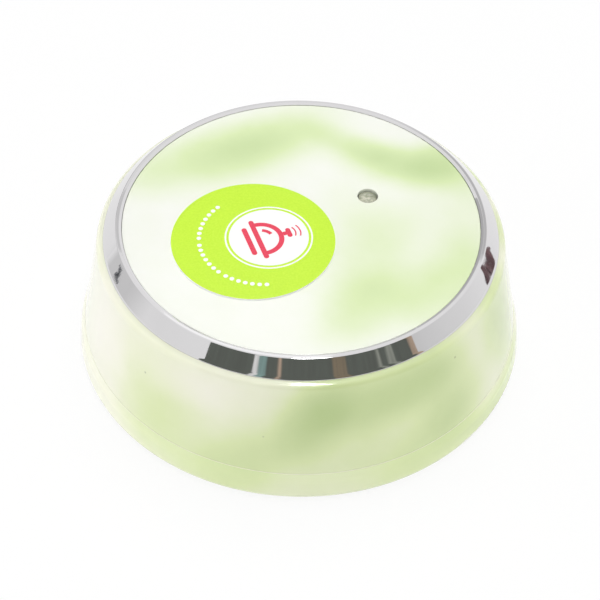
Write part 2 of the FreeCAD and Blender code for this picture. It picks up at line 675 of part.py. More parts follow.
def battery():
    """Sleeved cell lying along X with its raised terminal at the +X end."""
    along = vec(1, 0, 0)
    can_length = BATTERY_LENGTH - TERMINAL_HEIGHT
    flat_end = BATTERY_END - BATTERY_LENGTH
    can = cylinder_along(along, BATTERY_RADIUS, (flat_end, 0, BATTERY_AXIS_Z), can_length)
    rims = [edge for edge in can.Edges if isinstance(edge.Curve, Part.Circle)]
    can = can.makeFillet(CAN_EDGE_ROUND, rims)
    terminal_start = (flat_end + can_length - CAN_EDGE_ROUND, 0, BATTERY_AXIS_Z)
    terminal = cylinder_along(along, TERMINAL_RADIUS, terminal_start, TERMINAL_HEIGHT + CAN_EDGE_ROUND)
    return fused([can, terminal])


def contact_plate(x):
    """Thin upright plate with a tail that is soldered into the board."""
    half = CONTACT_PLATE / 2
    plate = box(x - half, x + half, -CONTACT_HALF_WIDTH, CONTACT_HALF_WIDTH,
                BATTERY_AXIS_Z - 4.2, BATTERY_AXIS_Z + 4.0)
    tail = box(x - half, x + half, -0.9, 0.9, BATTERY_AXIS_Z + 3.8, BOARD_TOP + 0.4)
    return fused([plate, tail])


def battery_contact_positive():
    """Plate with a round dimple that meets the raised terminal."""
    dimple = Part.makeSphere(1.6, vec(POSITIVE_PLATE_X + 1.05, 0, BATTERY_AXIS_Z))
    front = box(POSITIVE_PLATE_X - 1, POSITIVE_PLATE_X, -2, 2, BATTERY_AXIS_Z - 2, BATTERY_AXIS_Z + 2)
    return fused([contact_plate(POSITIVE_PLATE_X), dimple.common(front)])


def battery_contact_negative():
    """Plate with a cone-shaped spring that presses on the flat end of the cell."""
    wire = CONTACT_SPRING_WIRE
    start = NEGATIVE_PLATE_X + CONTACT_PLATE / 2 + wire * 0.8
    length = BATTERY_END - BATTERY_LENGTH - start - wire
    spring = coil(CONTACT_SPRING_FOOT, wire, length / 3.5, length, CONTACT_SPRING_TIP)
    spring.rotate(vec(0, 0, 0), vec(0, 1, 0), 90)
    spring.translate(vec(start, 0, BATTERY_AXIS_Z))
    return fused([contact_plate(NEGATIVE_PLATE_X), spring])


LATCH_HALF_WIDTH = 2.9
PIN_HALF_WIDTH = 8.0
GRIP_GROOVES, GRIP_PITCH, GRIP_HALF_WIDTH = 5, 1.6, 4.0


def battery_door():
    """Flap with a hinge knuckle and two moulded pins at one end and a latch tongue at the other."""
    inner_face = UNDERSIDE + DOOR_THICKNESS
    across = vec(0, 1, 0)
    plate = box(HINGE_X, DOOR_TIP, -DOOR_HALF_WIDTH, DOOR_HALF_WIDTH, UNDERSIDE, inner_face)
    knuckle = cylinder_along(across, KNUCKLE_RADIUS, (HINGE_X, -DOOR_HALF_WIDTH, HINGE_Z),
                             2 * DOOR_HALF_WIDTH)
    pins = cylinder_along(across, PIN_RADIUS, (HINGE_X, -PIN_HALF_WIDTH, HINGE_Z), 2 * PIN_HALF_WIDTH)
    tongue = box(DOOR_TIP - 0.8, DOOR_TIP, -LATCH_HALF_WIDTH, LATCH_HALF_WIDTH, UNDERSIDE, inner_face + 2.0)
    door = fused([plate, knuckle, pins, tongue])
    grooves = []
    for i in range(GRIP_GROOVES):
        x = DOOR_TIP - 2.2 - i * GRIP_PITCH
        grooves.append(box(x - 0.3, x + 0.3, -GRIP_HALF_WIDTH, GRIP_HALF_WIDTH, UNDERSIDE, UNDERSIDE + 0.35))
    return door.cut(Part.makeCompound(grooves))


CASE_HEAD_RADIUS, CASE_HEAD_HEIGHT, CASE_SCREW_LENGTH = 2.3, 1.5, 10.0


def case_screws():
    return Part.makeCompound([pan_screw(x, y, CASE_SCREW_SEAT, CASE_HEAD_RADIUS, CASE_HEAD_HEIGHT,
                                        CASE_SCREW_RADIUS, CASE_SCREW_LENGTH)
                              for x, y, angle in CASE_SCREWS])


# ---- every piece in its own file ----------------------------------------------------------

PIECES = {
    "body_shell": body_shell(),
    "chrome_ring": chrome_ring(),
    "base_cover": base_cover(),
    "rubber_feet": rubber_feet(),
    "case_screws": case_screws(),
    "press_plate": press_plate(),
    "label": label(),
    "plate_washers": plate_washers(),
    "plate_screws": plate_screws(),
    "return_springs": return_springs(),
    "circuit_board": circuit_board(),
    "board_screws": board_screws(),
    "tact_switch_housing": tact_switch_housing(),
    "tact_switch_cover": tact_switch_cover(),
    "tact_switch_button": tact_switch_button(),
    "tact_switch_terminals": tact_switch_terminals(),
    "indicator_led": indicator_led(),
    "led_spacer": led_spacer(),
    "led_leads": led_leads(),
    "encoder_chip": encoder_chip(),
    "encoder_chip_pins": encoder_chip_pins(),
    "saw_resonator": saw_resonator(),
    "rf_transistors": rf_transistors(),
    "chip_resistors": chip_row(RESISTORS, 0.5),
    "chip_capacitors": chip_row(CAPACITORS, 0.9),
    "antenna_coil": antenna_coil(),
    "battery": battery(),
    "battery_contact_positive": battery_contact_positive(),
    "battery_contact_negative": battery_contact_negative(),
    "battery_door": battery_door(),
}

os.makedirs("parts", exist_ok=True)
for name, shape in PIECES.items():
    write(name, shape)
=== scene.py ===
import math

import bmesh
import bpy
from mathutils import Matrix, Vector


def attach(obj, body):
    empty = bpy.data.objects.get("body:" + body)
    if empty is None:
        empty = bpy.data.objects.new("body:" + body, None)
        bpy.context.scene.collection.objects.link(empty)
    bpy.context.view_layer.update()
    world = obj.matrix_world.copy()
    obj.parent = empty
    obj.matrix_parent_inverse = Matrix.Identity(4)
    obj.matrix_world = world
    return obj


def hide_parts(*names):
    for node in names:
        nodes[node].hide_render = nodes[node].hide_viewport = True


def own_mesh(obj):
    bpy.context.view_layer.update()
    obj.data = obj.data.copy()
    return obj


# A round wireless call button for a table, put together from the casing inwards and then down
# to its underside. Sizes here are in millimetres, and meshes are scaled to metres when made.

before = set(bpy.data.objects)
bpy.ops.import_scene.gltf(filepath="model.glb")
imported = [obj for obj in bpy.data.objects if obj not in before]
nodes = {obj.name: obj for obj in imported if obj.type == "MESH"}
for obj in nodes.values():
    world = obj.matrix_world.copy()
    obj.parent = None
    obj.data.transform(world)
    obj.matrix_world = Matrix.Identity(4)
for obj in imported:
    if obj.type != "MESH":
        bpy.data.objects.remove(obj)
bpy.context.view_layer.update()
MM = 0.001


# ---- side wall ----------------------------------------------------------------------------
# The tapering wall with its rounded shoulder: one glossy moulding in marbled plastic, cream
# pellets with pale green colour that is only half stirred in, so that it lies in soft veils.
# Four screws pull it down onto the base cover.

class Wire:
    """An output socket. Sums written with it add Math nodes to the tree it belongs to."""

    def __init__(self, network, socket):
        self.network = network
        self.socket = socket

    def maths(self, operation, *values):
        return self.network.node("ShaderNodeMath", {"operation": operation}, values)

    def __add__(self, other):
        return self.maths("ADD", self, other)

    def __sub__(self, other):
        return self.maths("SUBTRACT", self, other)

    def __rsub__(self, other):
        return self.maths("SUBTRACT", other, self)

    def __mul__(self, other):
        return self.maths("MULTIPLY", self, other)

    def __truediv__(self, other):
        return self.maths("DIVIDE", self, other)

    def __gt__(self, other):
        return self.maths("GREATER_THAN", self, other)

    __radd__, __rmul__ = __add__, __mul__


class Network:
    """A node tree in the making."""

    def __init__(self, tree):
        self.tree = tree

    def node(self, kind, settings=None, sockets=(), output=0):
        """Adds a node, sets it up, then feeds its sockets with values or wires."""
        made = self.tree.nodes.new(kind)
        for name, value in (settings or {}).items():
            if name == "stops":
                marks = made.color_ramp.elements
                for mark, (place, colour) in zip([marks[0], marks[1]], value):
                    mark.position, mark.color = place, colour
                for place, colour in value[2:]:
                    marks.new(place).color = colour
            else:
                setattr(made, name, value)
        pairs = sockets.items() if isinstance(sockets, dict) else enumerate(sockets)
        for name, value in pairs:
            if isinstance(value, Wire):
                self.tree.links.new(value.socket, made.inputs[name])
            else:
                made.inputs[name].default_value = value
        return Wire(self, made.outputs[output])


class Finish(Network):
    """A material. Values that are the same all over are set on the shader's own sockets."""

    def __init__(self, name, fixed):
        self.material = bpy.data.materials.new(name)
        self.material.use_nodes = True
        super().__init__(self.material.node_tree)
        self.shader = self.tree.nodes["Principled BSDF"]
        for socket, value in fixed.items():
            self.shader.inputs[socket].default_value = value
        metres = self.node("ShaderNodeTexCoord", output="Object")
        self.place = self.scaled(metres, 1 / MM)

    def scaled(self, vector, amount):
        return self.node("ShaderNodeVectorMath", {"operation": "SCALE"}, {0: vector, "Scale": amount})

    def axes(self, vector):
        """The X, Y and Z of a vector, each as a wire."""
        return [self.node("ShaderNodeSeparateXYZ", {}, [vector], axis) for axis in "XYZ"]

    def noise(self, size, detail=2.0, place=None, output=0, rough=0.5):
        """Soft noise whose lumps are about size millimetres across, from 0 to 1."""
        sockets = {"Vector": place or self.place, "Scale": 1 / size, "Detail": detail, "Roughness": rough}
        return self.node("ShaderNodeTexNoise", {}, sockets, output)

    def spread(self, value, low, high, first=0.0, last=1.0, way="LINEAR"):
        """Carries low..high over to first..last, and holds it there."""
        sockets = {"Value": value, "From Min": low, "From Max": high, "To Min": first, "To Max": last}
        return self.node("ShaderNodeMapRange", {"interpolation_type": way}, sockets)

    def over(self, share, below, above):
        """The colour above laid over the colour below, where share is 1."""
        return self.node("ShaderNodeMix", {"data_type": "RGBA"}, {0: share, 6: below, 7: above}, 2)

    def feed(self, socket, wire):
        self.tree.links.new(wire.socket, self.shader.inputs[socket])

    def bump(self, height, strength, distance):
        """Raises the surface by height, where 1 is a distance in millimetres."""
        sockets = {"Strength": strength, "Distance": distance * MM, "Height": height}
        self.feed("Normal", self.node("ShaderNodeBump", {}, sockets, "Normal"))

    def touch(self, gloss, smoothest, roughest, grain, strength, distance):
        """Roughness that drifts between two amounts, and a fine bump, each from its own noise."""
        self.feed("Roughness", self.spread(self.noise(*gloss), 0.3, 0.7, smoothest, roughest))
        self.bump(self.noise(*grain), strength, distance)


CREAM, PALE_GREEN = (0.91, 0.91, 0.87), (0.81, 0.87, 0.67)
LEAF_GREEN, DEEP_GREEN = (0.67, 0.80, 0.43), (0.47, 0.62, 0.27)
SHADES = [(0.0, CREAM), (0.5, PALE_GREEN), (1.0, LEAF_GREEN), (1.8, DEEP_GREEN)]     # by amount of veil
VEIL_DRIFT, VEIL_DEPTH = 1.3, 30
SPREAD_OUT_RADIUS = 35.5      # the wall is laid out flat at this radius, which is about its mean
# The seam's dark colour is painted shade along the top of the wall, under the ring.
SEAM_FOOT, SEAM_TOP, SEAM_SHADE_SHARE = 22.75, 23.05, 0.12
SEAM_SHADE_COLOUR, SPECK_COLOUR = (0.35, 0.38, 0.33, 1), (0.16, 0.20, 0.12, 1)


def marbled_plastic(name, wall_from, veils, ground, tint_and_light, specks=(), seam=False):
    """Glossy marbled plastic whose colours are scaled in red, green and blue, for a moulding's own tint
    and, on the base cover, also for painted light.
    A veil is x, y, turn, half length, half width and strength. Beyond the radius wall_from, x
    runs round the wall from the front and y is the height."""
    plastic = Finish(name, {"Coat Weight": 0.6, "Coat Roughness": 0.03, "IOR": 1.48})
    drift = plastic.node("ShaderNodeVectorMath", {"operation": "MULTIPLY_ADD"},
                         [plastic.noise(12.0, 4.0, output="Color"), (2 * VEIL_DRIFT,) * 3,
                          (-VEIL_DRIFT,) * 3])
    x, y, z = plastic.axes(plastic.place)
    around = x.maths("ARCTAN2", x, 0 - y) * SPREAD_OUT_RADIUS
    level = plastic.node("ShaderNodeCombineXYZ", {}, [x, y, 0.0])
    upright = plastic.node("ShaderNodeCombineXYZ", {}, [around, z, 0.0])
    on_wall = (x * x + y * y) > wall_from ** 2
    plan = plastic.node("ShaderNodeMix", {"data_type": "VECTOR"}, {0: on_wall, 4: level, 5: upright}, 1)
    drifted = plastic.node("ShaderNodeVectorMath", {"operation": "ADD"}, [plan, drift])
    cover = plastic.spread(plastic.noise(6.0, 5.0), 0.3, 0.7, -0.05, 0.05) + ground
    for vx, vy, turn, length, width, strength in veils:
        sockets = {"Vector": drifted, "Location": (vx, vy, 0), "Rotation": (0, 0, math.radians(turn)),
                   "Scale": (length, width, VEIL_DEPTH)}
        cloud = plastic.node("ShaderNodeMapping", {"vector_type": "TEXTURE"}, sockets)
        reach = plastic.node("ShaderNodeVectorMath", {"operation": "LENGTH"}, [cloud], "Value")
        cover = cover + plastic.spread(reach, 1.0, 0.0, 0.0, strength, "SMOOTHERSTEP")
    deepest = SHADES[-1][0]
    stops = [(amount / deepest, tuple(c * b for c, b in zip(shade, tint_and_light)) + (1,))
             for amount, shade in SHADES]
    share = plastic.spread(cover, 0.0, deepest)
    colour = plastic.node("ShaderNodeValToRGB", {"stops": [stops[0], stops[-1]] + stops[1:-1]}, [share])
    if seam:                  # painted shade darkens the wall along the seam at its top, under the ring
        seam_shade = plastic.spread(z, SEAM_FOOT, SEAM_TOP, 0.0, SEAM_SHADE_SHARE)
        colour = plastic.over(seam_shade, colour, SEAM_SHADE_COLOUR)
    for vx, vy, radius, strength in specks:
        away = plastic.node("ShaderNodeVectorMath", {"operation": "DISTANCE"}, [plan, (vx, vy, 0)],
                            "Value")
        near = plastic.spread(away, radius, 0.3 * radius, 0.0, strength)
        colour = plastic.over(near, colour, SPECK_COLOUR)
    plastic.feed("Base Color", colour)
    plastic.touch((2.5, 3.0), 0.08, 0.14, (0.9, 2.0), 0.25, 0.006)
    return plastic


def dress(piece, finish):
    """Puts a finish on every material slot of a piece."""
    for held in piece.material_slots:
        held.material = finish.material


WALL_VEILS = [                # millimetres round the wall from the front, height, and so on
    (14, 12, 10, 48, 24, 0.45), (3, 17, 60, 14, 9, 0.8), (16, 19, 5, 20, 9, 0.7),
    (26, 14, 100, 16, 10, 0.4), (24, 6, 20, 20, 9, 0.4), (-10, 6, 40, 18, 10, 0.5),
    (-24, 10, 90, 18, 14, 0.5), (-18, 18, 10, 18, 6, -0.2), (-40, 15, 90, 16, 10, -0.2),
    (45, 15, 120, 20, 11, 0.9), (40, 2, 0, 20, 6, 0.7), (58, 17, 90, 16, 9, 0.7),
    (72, 16, 100, 17, 8, 0.7), (88, 10, 60, 18, 9, 0.4), (-84, 14, 80, 16, 8, 0.65),
    (-100, 19, 20, 14, 7, 0.55), (104, 21, 160, 12, 6, 0.45), (-70, 4, 0, 12, 5, -0.3),
]
WALL_SPECKS = [(-27.0, 16.0, 0.26, 0.45), (28.3, 19.6, 0.28, 0.5), (-5.2, 12.8, 0.22, 0.3)]
WALL_BATCH = (1.035, 0.985, 0.985)
wall_plastic = marbled_plastic("marbled_wall", 0.0, WALL_VEILS, 0.44, WALL_BATCH, WALL_SPECKS, True)
dress(nodes["body_shell"], wall_plastic)


# ---- base cover ---------------------------------------------------------------------------
# The underside with the band that stands slightly proud of the wall. Its colours are painted a little
# lighter than the wall's, as painted light for the brighter light low on the band. It carries the battery
# bay and is screwed to the wall.

# Painted light: the base cover's colours are made lighter than the wall's, for the brighter light on the
# low band.
BASE_TINT_AND_LIGHT = tuple(amount * 1.055 for amount in WALL_BATCH)
UNDERSIDE_RADIUS = 36.8
base_plastic = marbled_plastic("marbled_base", UNDERSIDE_RADIUS, WALL_VEILS, 0.42, BASE_TINT_AND_LIGHT)
dress(nodes["base_cover"], base_plastic)


# ---- chrome ring --------------------------------------------------------------------------
# A plastic ring with bright plating: narrow flat rim, wide bevel and a thin rounded lip. It is
# pressed into the top of the casing by its skirt, and the disc moves up and down inside it.

def own_piece(name, mesh, finish, body, stands_for=()):
    """A mesh in metres as a piece of the object, on a body, in place of CAD nodes if named."""
    mesh.materials.clear()
    mesh.materials.append(finish.material)
    piece = bpy.data.objects.new(name, mesh)
    bpy.context.scene.collection.objects.link(piece)
    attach(piece, body)
    if stands_for:
        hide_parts(*stands_for)
    return piece


def turned(name, profile, steps, x=0.0, y=0.0):
    """A mesh turned round Z from (radius, height) points that run round the section."""
    mesh = bpy.data.meshes.new(name)
    shape = bmesh.new()
    rings = []
    for radius, height in profile:
        if radius == 0:
            rings.append([shape.verts.new((x, y, height))] * steps)
        else:
            turns = [2 * math.pi * i / steps for i in range(steps)]
            rings.append([shape.verts.new((x + radius * math.cos(t), y + radius * math.sin(t), height))
                          for t in turns])
    closed = profile[0][0] != 0
    for k in range(len(rings) if closed else len(rings) - 1):
        low, high = rings[k], rings[(k + 1) % len(rings)]
        for i in range(steps):
            j = (i + 1) % steps
            corners = list(dict.fromkeys([low[i], low[j], high[j], high[i]]))
            if len(corners) > 2:
                shape.faces.new(corners).smooth = True
    bmesh.ops.recalc_face_normals(shape, faces=shape.faces)
    bmesh.ops.scale(shape, vec=(MM,) * 3, verts=shape.verts)
    shape.to_mesh(mesh)
    shape.free()
    mesh.set_sharp_from_angle(angle=math.radians(40))
    return mesh


def arc(centre_r, centre_z, radius, start, end, steps):
    """Points on an arc of a section, angles in degrees from the outward direction."""
    points = []
    for i in range(steps + 1):
        turn = math.radians(start + (end - start) * i / steps)
        points.append((centre_r + radius * math.cos(turn), centre_z + radius * math.sin(turn)))
    return points


RIM_TOP, RIM_OUTER, FLAT_INNER, BORE = 25.82, 30.25, 29.76, 29.55
THROAT, THROAT_FOOT, CHAMFER_TURN = 29.29, 24.9, 28
RIM_ROUND, INNER_ROUND, LIP_ROUND, LIP_EDGE = 0.22, 0.12, 1.6, 0.1
SKIRT_RADIUS, SKIRT_FOOT, LIP_FOOT, LIP_LAST_TILT = 31.0, 20.6, 23.15, 24
BEVEL_FOOT_R, BEVEL_FOOT_Z, THROAT_STEP = 32.20, 23.665, 0.2


def along_line(start, end, shares):
    """Points between two others, so that a flat face keeps its own direction up to its ends."""
    return [(start[0] + (end[0] - start[0]) * share, start[1] + (end[1] - start[1]) * share)
            for share in shares]


bevel_tilt = math.degrees(math.atan2(BEVEL_FOOT_R - RIM_OUTER, RIM_TOP - BEVEL_FOOT_Z))
lip_r = BEVEL_FOOT_R - LIP_ROUND * math.cos(math.radians(bevel_tilt))
lip_z = BEVEL_FOOT_Z - LIP_ROUND * math.sin(math.radians(bevel_tilt))
lip = arc(lip_r, lip_z, LIP_ROUND, LIP_LAST_TILT, bevel_tilt, 9)
edge_r = lip[0][0] - LIP_EDGE * math.cos(math.radians(LIP_LAST_TILT))
edge_z = lip[0][1] - LIP_EDGE * math.sin(math.radians(LIP_LAST_TILT))
lip = arc(edge_r, edge_z, LIP_EDGE, 0, LIP_LAST_TILT, 3)[:-1] + lip
tangent = RIM_ROUND * math.tan(math.radians(90 - bevel_tilt) / 2)
rim_edge = arc(RIM_OUTER - tangent, RIM_TOP - RIM_ROUND, RIM_ROUND, bevel_tilt, 90, 8)
inner_edge = arc(FLAT_INNER, RIM_TOP - INNER_ROUND, INNER_ROUND, 90, 90 + CHAMFER_TURN, 4)
slope_drop = (inner_edge[-1][0] - THROAT) * math.tan(math.radians(CHAMFER_TURN))
slope_end = (THROAT, inner_edge[-1][1] - slope_drop)
ring_profile = [(BORE, SKIRT_FOOT), (SKIRT_RADIUS, SKIRT_FOOT), (SKIRT_RADIUS, LIP_FOOT),
                (lip[0][0], LIP_FOOT)]
ring_profile += lip + along_line(lip[-1], rim_edge[0], (0.03, 0.5, 0.97)) + rim_edge
ring_profile += along_line(rim_edge[-1], inner_edge[0], (0.08, 0.92)) + inner_edge
ring_profile += along_line(inner_edge[-1], slope_end, (0.1, 0.9, 1.0))
ring_profile += [(THROAT, THROAT_FOOT), (BORE, THROAT_FOOT - THROAT_STEP)]

plating = Finish("chrome_plating", {"Metallic": 1.0})
plating.feed("Base Color", plating.over(plating.noise(6.0, 3.0), (0.685, 0.675, 0.685, 1),
                                        (0.735, 0.728, 0.735, 1)))
plating.feed("Roughness", plating.spread(plating.noise(1.5, 4.0), 0.35, 0.65, 0.015, 0.045))
plating.bump(plating.noise(3.0, 2.0), 0.08, 0.01)
own_piece("chrome_trim_ring", turned("chrome_trim_ring", ring_profile, 360), plating,
          "case", ["chrome_ring"])


# ---- pressed disc -------------------------------------------------------------------------
# The button itself: a disc in the same marbled plastic, with a hole for the lamp. Ribs and
# three posts under it are moulded on. It floats in the ring with a thin gap all round.

DISC_VEILS = [                # x, y and so on, seen from above
    (-15, 15, 20, 32, 12, 0.9), (-5, 22, 30, 22, 10, 0.5), (9, 19, 150, 16, 6, 0.5),
    (17, 14, 165, 20, 9, 0.9), (26, 18, 40, 16, 9, 0.8), (27, 2, 80, 24, 9, 0.4),
    (24, -14, 60, 20, 11, 0.7), (12, -7, 60, 24, 12, 0.6), (11, -19, 40, 18, 10, 0.7),
    (8, 3, 90, 12, 9, 0.25),
]
DISC_BATCH = (1.02, 1.02, 1.03)
disc_plastic = marbled_plastic("marbled_disc", 100.0, DISC_VEILS, 0.13, DISC_BATCH)
dress(nodes["press_plate"], disc_plastic)


# ---- label --------------------------------------------------------------------------------
# A round vinyl sticker, lime green with a white circle and a thin white line round that. A red
# service bell is printed on the circle, and a row of white dots follows the left edge.

LABEL_X, LABEL_Y, LABEL_RADIUS = -7.70, -4.97, 13.3
LABEL_FOOT, LABEL_TOP, LABEL_EDGE = 25.55, 25.87, 0.12
INK = 0.012                   # each printed layer lies this much higher than the one below
PRINT_DEPTH = 0.03
CIRCLE_X, CIRCLE_Y, CIRCLE_RADIUS = -5.20, -4.38, 6.46
LINE_INNER, LINE_OUTER = 6.86, 7.14


def printed(name, outlines, level):
    """Flat shapes of ink from closed outlines, as thin prisms."""
    mesh = bpy.data.meshes.new(name)
    shape = bmesh.new()
    for outline in outlines:
        low = [shape.verts.new((x, y, level - INK)) for x, y in outline]
        high = [shape.verts.new((x, y, level)) for x, y in outline]
        shape.faces.new(high)
        shape.faces.new(low[::-1])
        for i in range(len(outline)):
            j = (i + 1) % len(outline)
            shape.faces.new([low[i], low[j], high[j], high[i]])
    bmesh.ops.triangulate(shape, faces=[f for f in shape.faces if len(f.verts) > 4])
    bmesh.ops.recalc_face_normals(shape, faces=shape.faces)
    bmesh.ops.scale(shape, vec=(MM,) * 3, verts=shape.verts)
    shape.to_mesh(mesh)
    shape.free()
    return mesh


def inked(name, colour, ground):
    """Satin screen ink on vinyl, with a faint mottle. The sticker's cut edge is white."""
    ink = Finish(name, {"Coat Weight": 0.15, "Coat Roughness": 0.15})
    mottle = ink.spread(ink.noise(0.35, 3.0), 0.3, 0.7)
    tint = ink.over(mottle, colour, ground)
    on_top = ink.axes(ink.place)[2] > LABEL_TOP - PRINT_DEPTH
    ink.feed("Base Color", ink.over(on_top, (0.90, 0.90, 0.89, 1), tint))
    ink.touch((1.2, 3.0), 0.30, 0.40, (0.25, 2.0), 0.15, 0.004)
    return ink


lime = inked("label_lime", (0.535, 0.860, 0.006, 1), (0.600, 0.905, 0.022, 1))
white_ink = inked("label_white", (0.93, 0.93, 0.93, 1), (0.96, 0.96, 0.96, 1))
red_ink = inked("label_red", (0.76, 0.018, 0.065, 1), (0.84, 0.040, 0.095, 1))

sticker_profile = [(0, LABEL_FOOT), (LABEL_RADIUS, LABEL_FOOT)]
sticker_profile += arc(LABEL_RADIUS - LABEL_EDGE, LABEL_TOP - LABEL_EDGE, LABEL_EDGE, 0, 90, 5)
sticker_profile += [(0, LABEL_TOP)]
own_piece("label_sticker", turned("label_sticker", sticker_profile, 192, LABEL_X, LABEL_Y),
          lime, "press_disc", ["label"])

CIRCLE_LEVEL = LABEL_TOP + INK
circle_profile = [(0, LABEL_TOP), (CIRCLE_RADIUS, LABEL_TOP), (CIRCLE_RADIUS, CIRCLE_LEVEL),
                  (0, CIRCLE_LEVEL)]
line_profile = [(LINE_INNER, LABEL_TOP), (LINE_OUTER, LABEL_TOP),
                (LINE_OUTER, CIRCLE_LEVEL), (LINE_INNER, CIRCLE_LEVEL)]
for part, profile in (("label_white_circle", circle_profile), ("label_white_line", line_profile)):
    own_piece(part, turned(part, profile, 128, CIRCLE_X, CIRCLE_Y), white_ink, "press_disc")

BELL_TURN = math.radians(-70)
STROKE, BRIM, DOME, SHINE, PLINTH = 0.85, -1.30, 3.75, 2.25, -3.30
STEM_HALF, STEM_FOOT, STEM_TOP, KNOB, WAVES_FROM, WAVE = 0.42, 2.45, 3.02, 3.42, 2.60, 0.22


def swept(radius_out, radius_in, middle, start, end, steps=28):
    """Outline of a curved stroke about a middle point, angles in degrees."""
    there = [math.radians(start + (end - start) * i / steps) for i in range(steps + 1)]
    return [(middle[0] + radius * math.cos(turn), middle[1] + radius * math.sin(turn))
            for radius, turns in ((radius_out, there), (radius_in, there[::-1])) for turn in turns]


def bar(x, y, width, height, steps=8):
    """Outline of a bar with round ends."""
    reach, end = width / 2 - height / 2, height / 2
    points = []
    for side, first in ((reach, -90), (-reach, 90)):
        for i in range(steps + 1):
            turn = math.radians(first + 180 * i / steps)
            points.append((x + side + end * math.cos(turn), y + end * math.sin(turn)))
    return points


bell = [swept(DOME, DOME - STROKE, (0, BRIM), 0, 180), bar(0, BRIM - STROKE / 2, 9.0, STROKE),
        swept(SHINE, SHINE - STROKE * 0.7, (0, BRIM), 108, 158, 12), bar(0, PLINTH, 6.4, STROKE),
        [(-STEM_HALF, STEM_FOOT), (STEM_HALF, STEM_FOOT), (STEM_HALF, STEM_TOP), (-STEM_HALF, STEM_TOP)],
        bar(0, KNOB, 2.1, 0.8)]
bell += [swept(radius, radius - WAVE, (0, WAVES_FROM), 90 - spread, 90 + spread, steps)
         for radius, spread, steps in ((2.02, 32, 10), (2.82, 28, 12))]
bell = [[(CIRCLE_X + x * math.cos(BELL_TURN) - y * math.sin(BELL_TURN),
          CIRCLE_Y + x * math.sin(BELL_TURN) + y * math.cos(BELL_TURN)) for x, y in outline]
        for outline in bell]
own_piece("label_red_bell", printed("label_red_bell", bell, CIRCLE_LEVEL + INK), red_ink,
          "press_disc")


class Recipe(Network):
    """A Geometry Nodes tree with named sizes, which works on points given to it."""

    def __init__(self, name):
        super().__init__(bpy.data.node_groups.new(name, "GeometryNodeTree"))
        for way in ("INPUT", "OUTPUT"):
            self.tree.interface.new_socket("Geometry", in_out=way, socket_type="NodeSocketGeometry")
        self.entry = self.tree.nodes.new("NodeGroupInput")
        self.exit = self.tree.nodes.new("NodeGroupOutput")
        self.points = Wire(self, self.entry.outputs[0])
        self.sockets = {}

    def size(self, name):
        socket = self.tree.interface.new_socket(name, in_out="INPUT", socket_type="NodeSocketFloat")
        self.sockets[name] = socket.identifier
        return Wire(self, self.entry.outputs[name])

    def repeat(self, shape, finish, turn=(0.0, 0.0, 0.0)):
        """Ends the tree: the shape on every point given, made real and given its material."""
        sockets = {"Points": self.points, "Instance": shape, "Rotation": turn}
        copies = self.node("GeometryNodeInstanceOnPoints", {}, sockets)
        real = self.node("GeometryNodeRealizeInstances", {}, [copies])
        dressed = self.node("GeometryNodeSetMaterial", {}, {
            "Geometry": real, "Material": finish.material})
        self.tree.links.new(dressed.socket, self.exit.inputs[0])

    def made(self, name, places, sizes):
        """The result on a list of places, with its sizes in millimetres, as a plain mesh."""
        start = bpy.data.meshes.new(name + "_places")
        start.from_pydata(places, [], [])
        holder = bpy.data.objects.new(name, start)
        bpy.context.scene.collection.objects.link(holder)
        modifier = holder.modifiers.new(name, "NODES")
        modifier.node_group = self.tree
        for title, value in sizes.items():
            modifier[self.sockets[title]] = float(value)
        graph = bpy.context.evaluated_depsgraph_get()
        plain = bpy.data.meshes.new_from_object(holder.evaluated_get(graph), depsgraph=graph)
        bpy.data.objects.remove(holder)
        plain.transform(Matrix.Scale(MM, 4))
        return plain


DOT_ARC_X, DOT_ARC_Y, DOT_ARC_RADIUS = -6.06, -4.62, 10.4
DOT_GROUPS = [(138, 8), (191, 7), (237, 7)]      # first angle in degrees, and number of dots
DOT_STEP, DOT_RADIUS = 6.3, 0.38
dots = Recipe("round_dots")
dot_radius, dot_height = dots.size("Radius"), dots.size("Height")
dots.repeat(dots.node("GeometryNodeMeshCylinder", {}, {
    "Vertices": 24, "Radius": dot_radius, "Depth": dot_height}, "Mesh"), white_ink)
dot_angles = [math.radians(first + DOT_STEP * i) for first, count in DOT_GROUPS for i in range(count)]
dot_places = [(DOT_ARC_X + DOT_ARC_RADIUS * math.cos(angle),
               DOT_ARC_Y + DOT_ARC_RADIUS * math.sin(angle), LABEL_TOP + INK / 2) for angle in dot_angles]
own_piece("label_dots", dots.made("label_dots", dot_places, {"Radius": DOT_RADIUS, "Height": INK}),
          white_ink, "press_disc")


# ---- indicator lamp -----------------------------------------------------------------------
# A clear 3 mm lamp that stands on the board and looks out of the disc's hole. Inside the epoxy
# sit the reflector cup and the second lead's flat top.

LAMP_X, LAMP_Y, LAMP_RADIUS, LAMP_TOP = 10.91, 6.24, 1.5, 25.45
LAMP_DOME, DOME_FULLNESS = 0.34, 3.0
LAMP_FLANGE_FOOT, LAMP_FLANGE_TOP, LAMP_FLANGE_RADIUS = 19.9, 20.9, 1.9
epoxy = Finish("clear_epoxy", {"Transmission Weight": 0.35, "IOR": 1.52})
milky_and_shade = epoxy.over(epoxy.spread(epoxy.noise(0.5, 3.0), 0.35, 0.65), (0.50, 0.54, 0.38, 1),
                   (0.96, 0.94, 0.76, 1))
lens_x, lens_y, lens_z = epoxy.axes(epoxy.place)
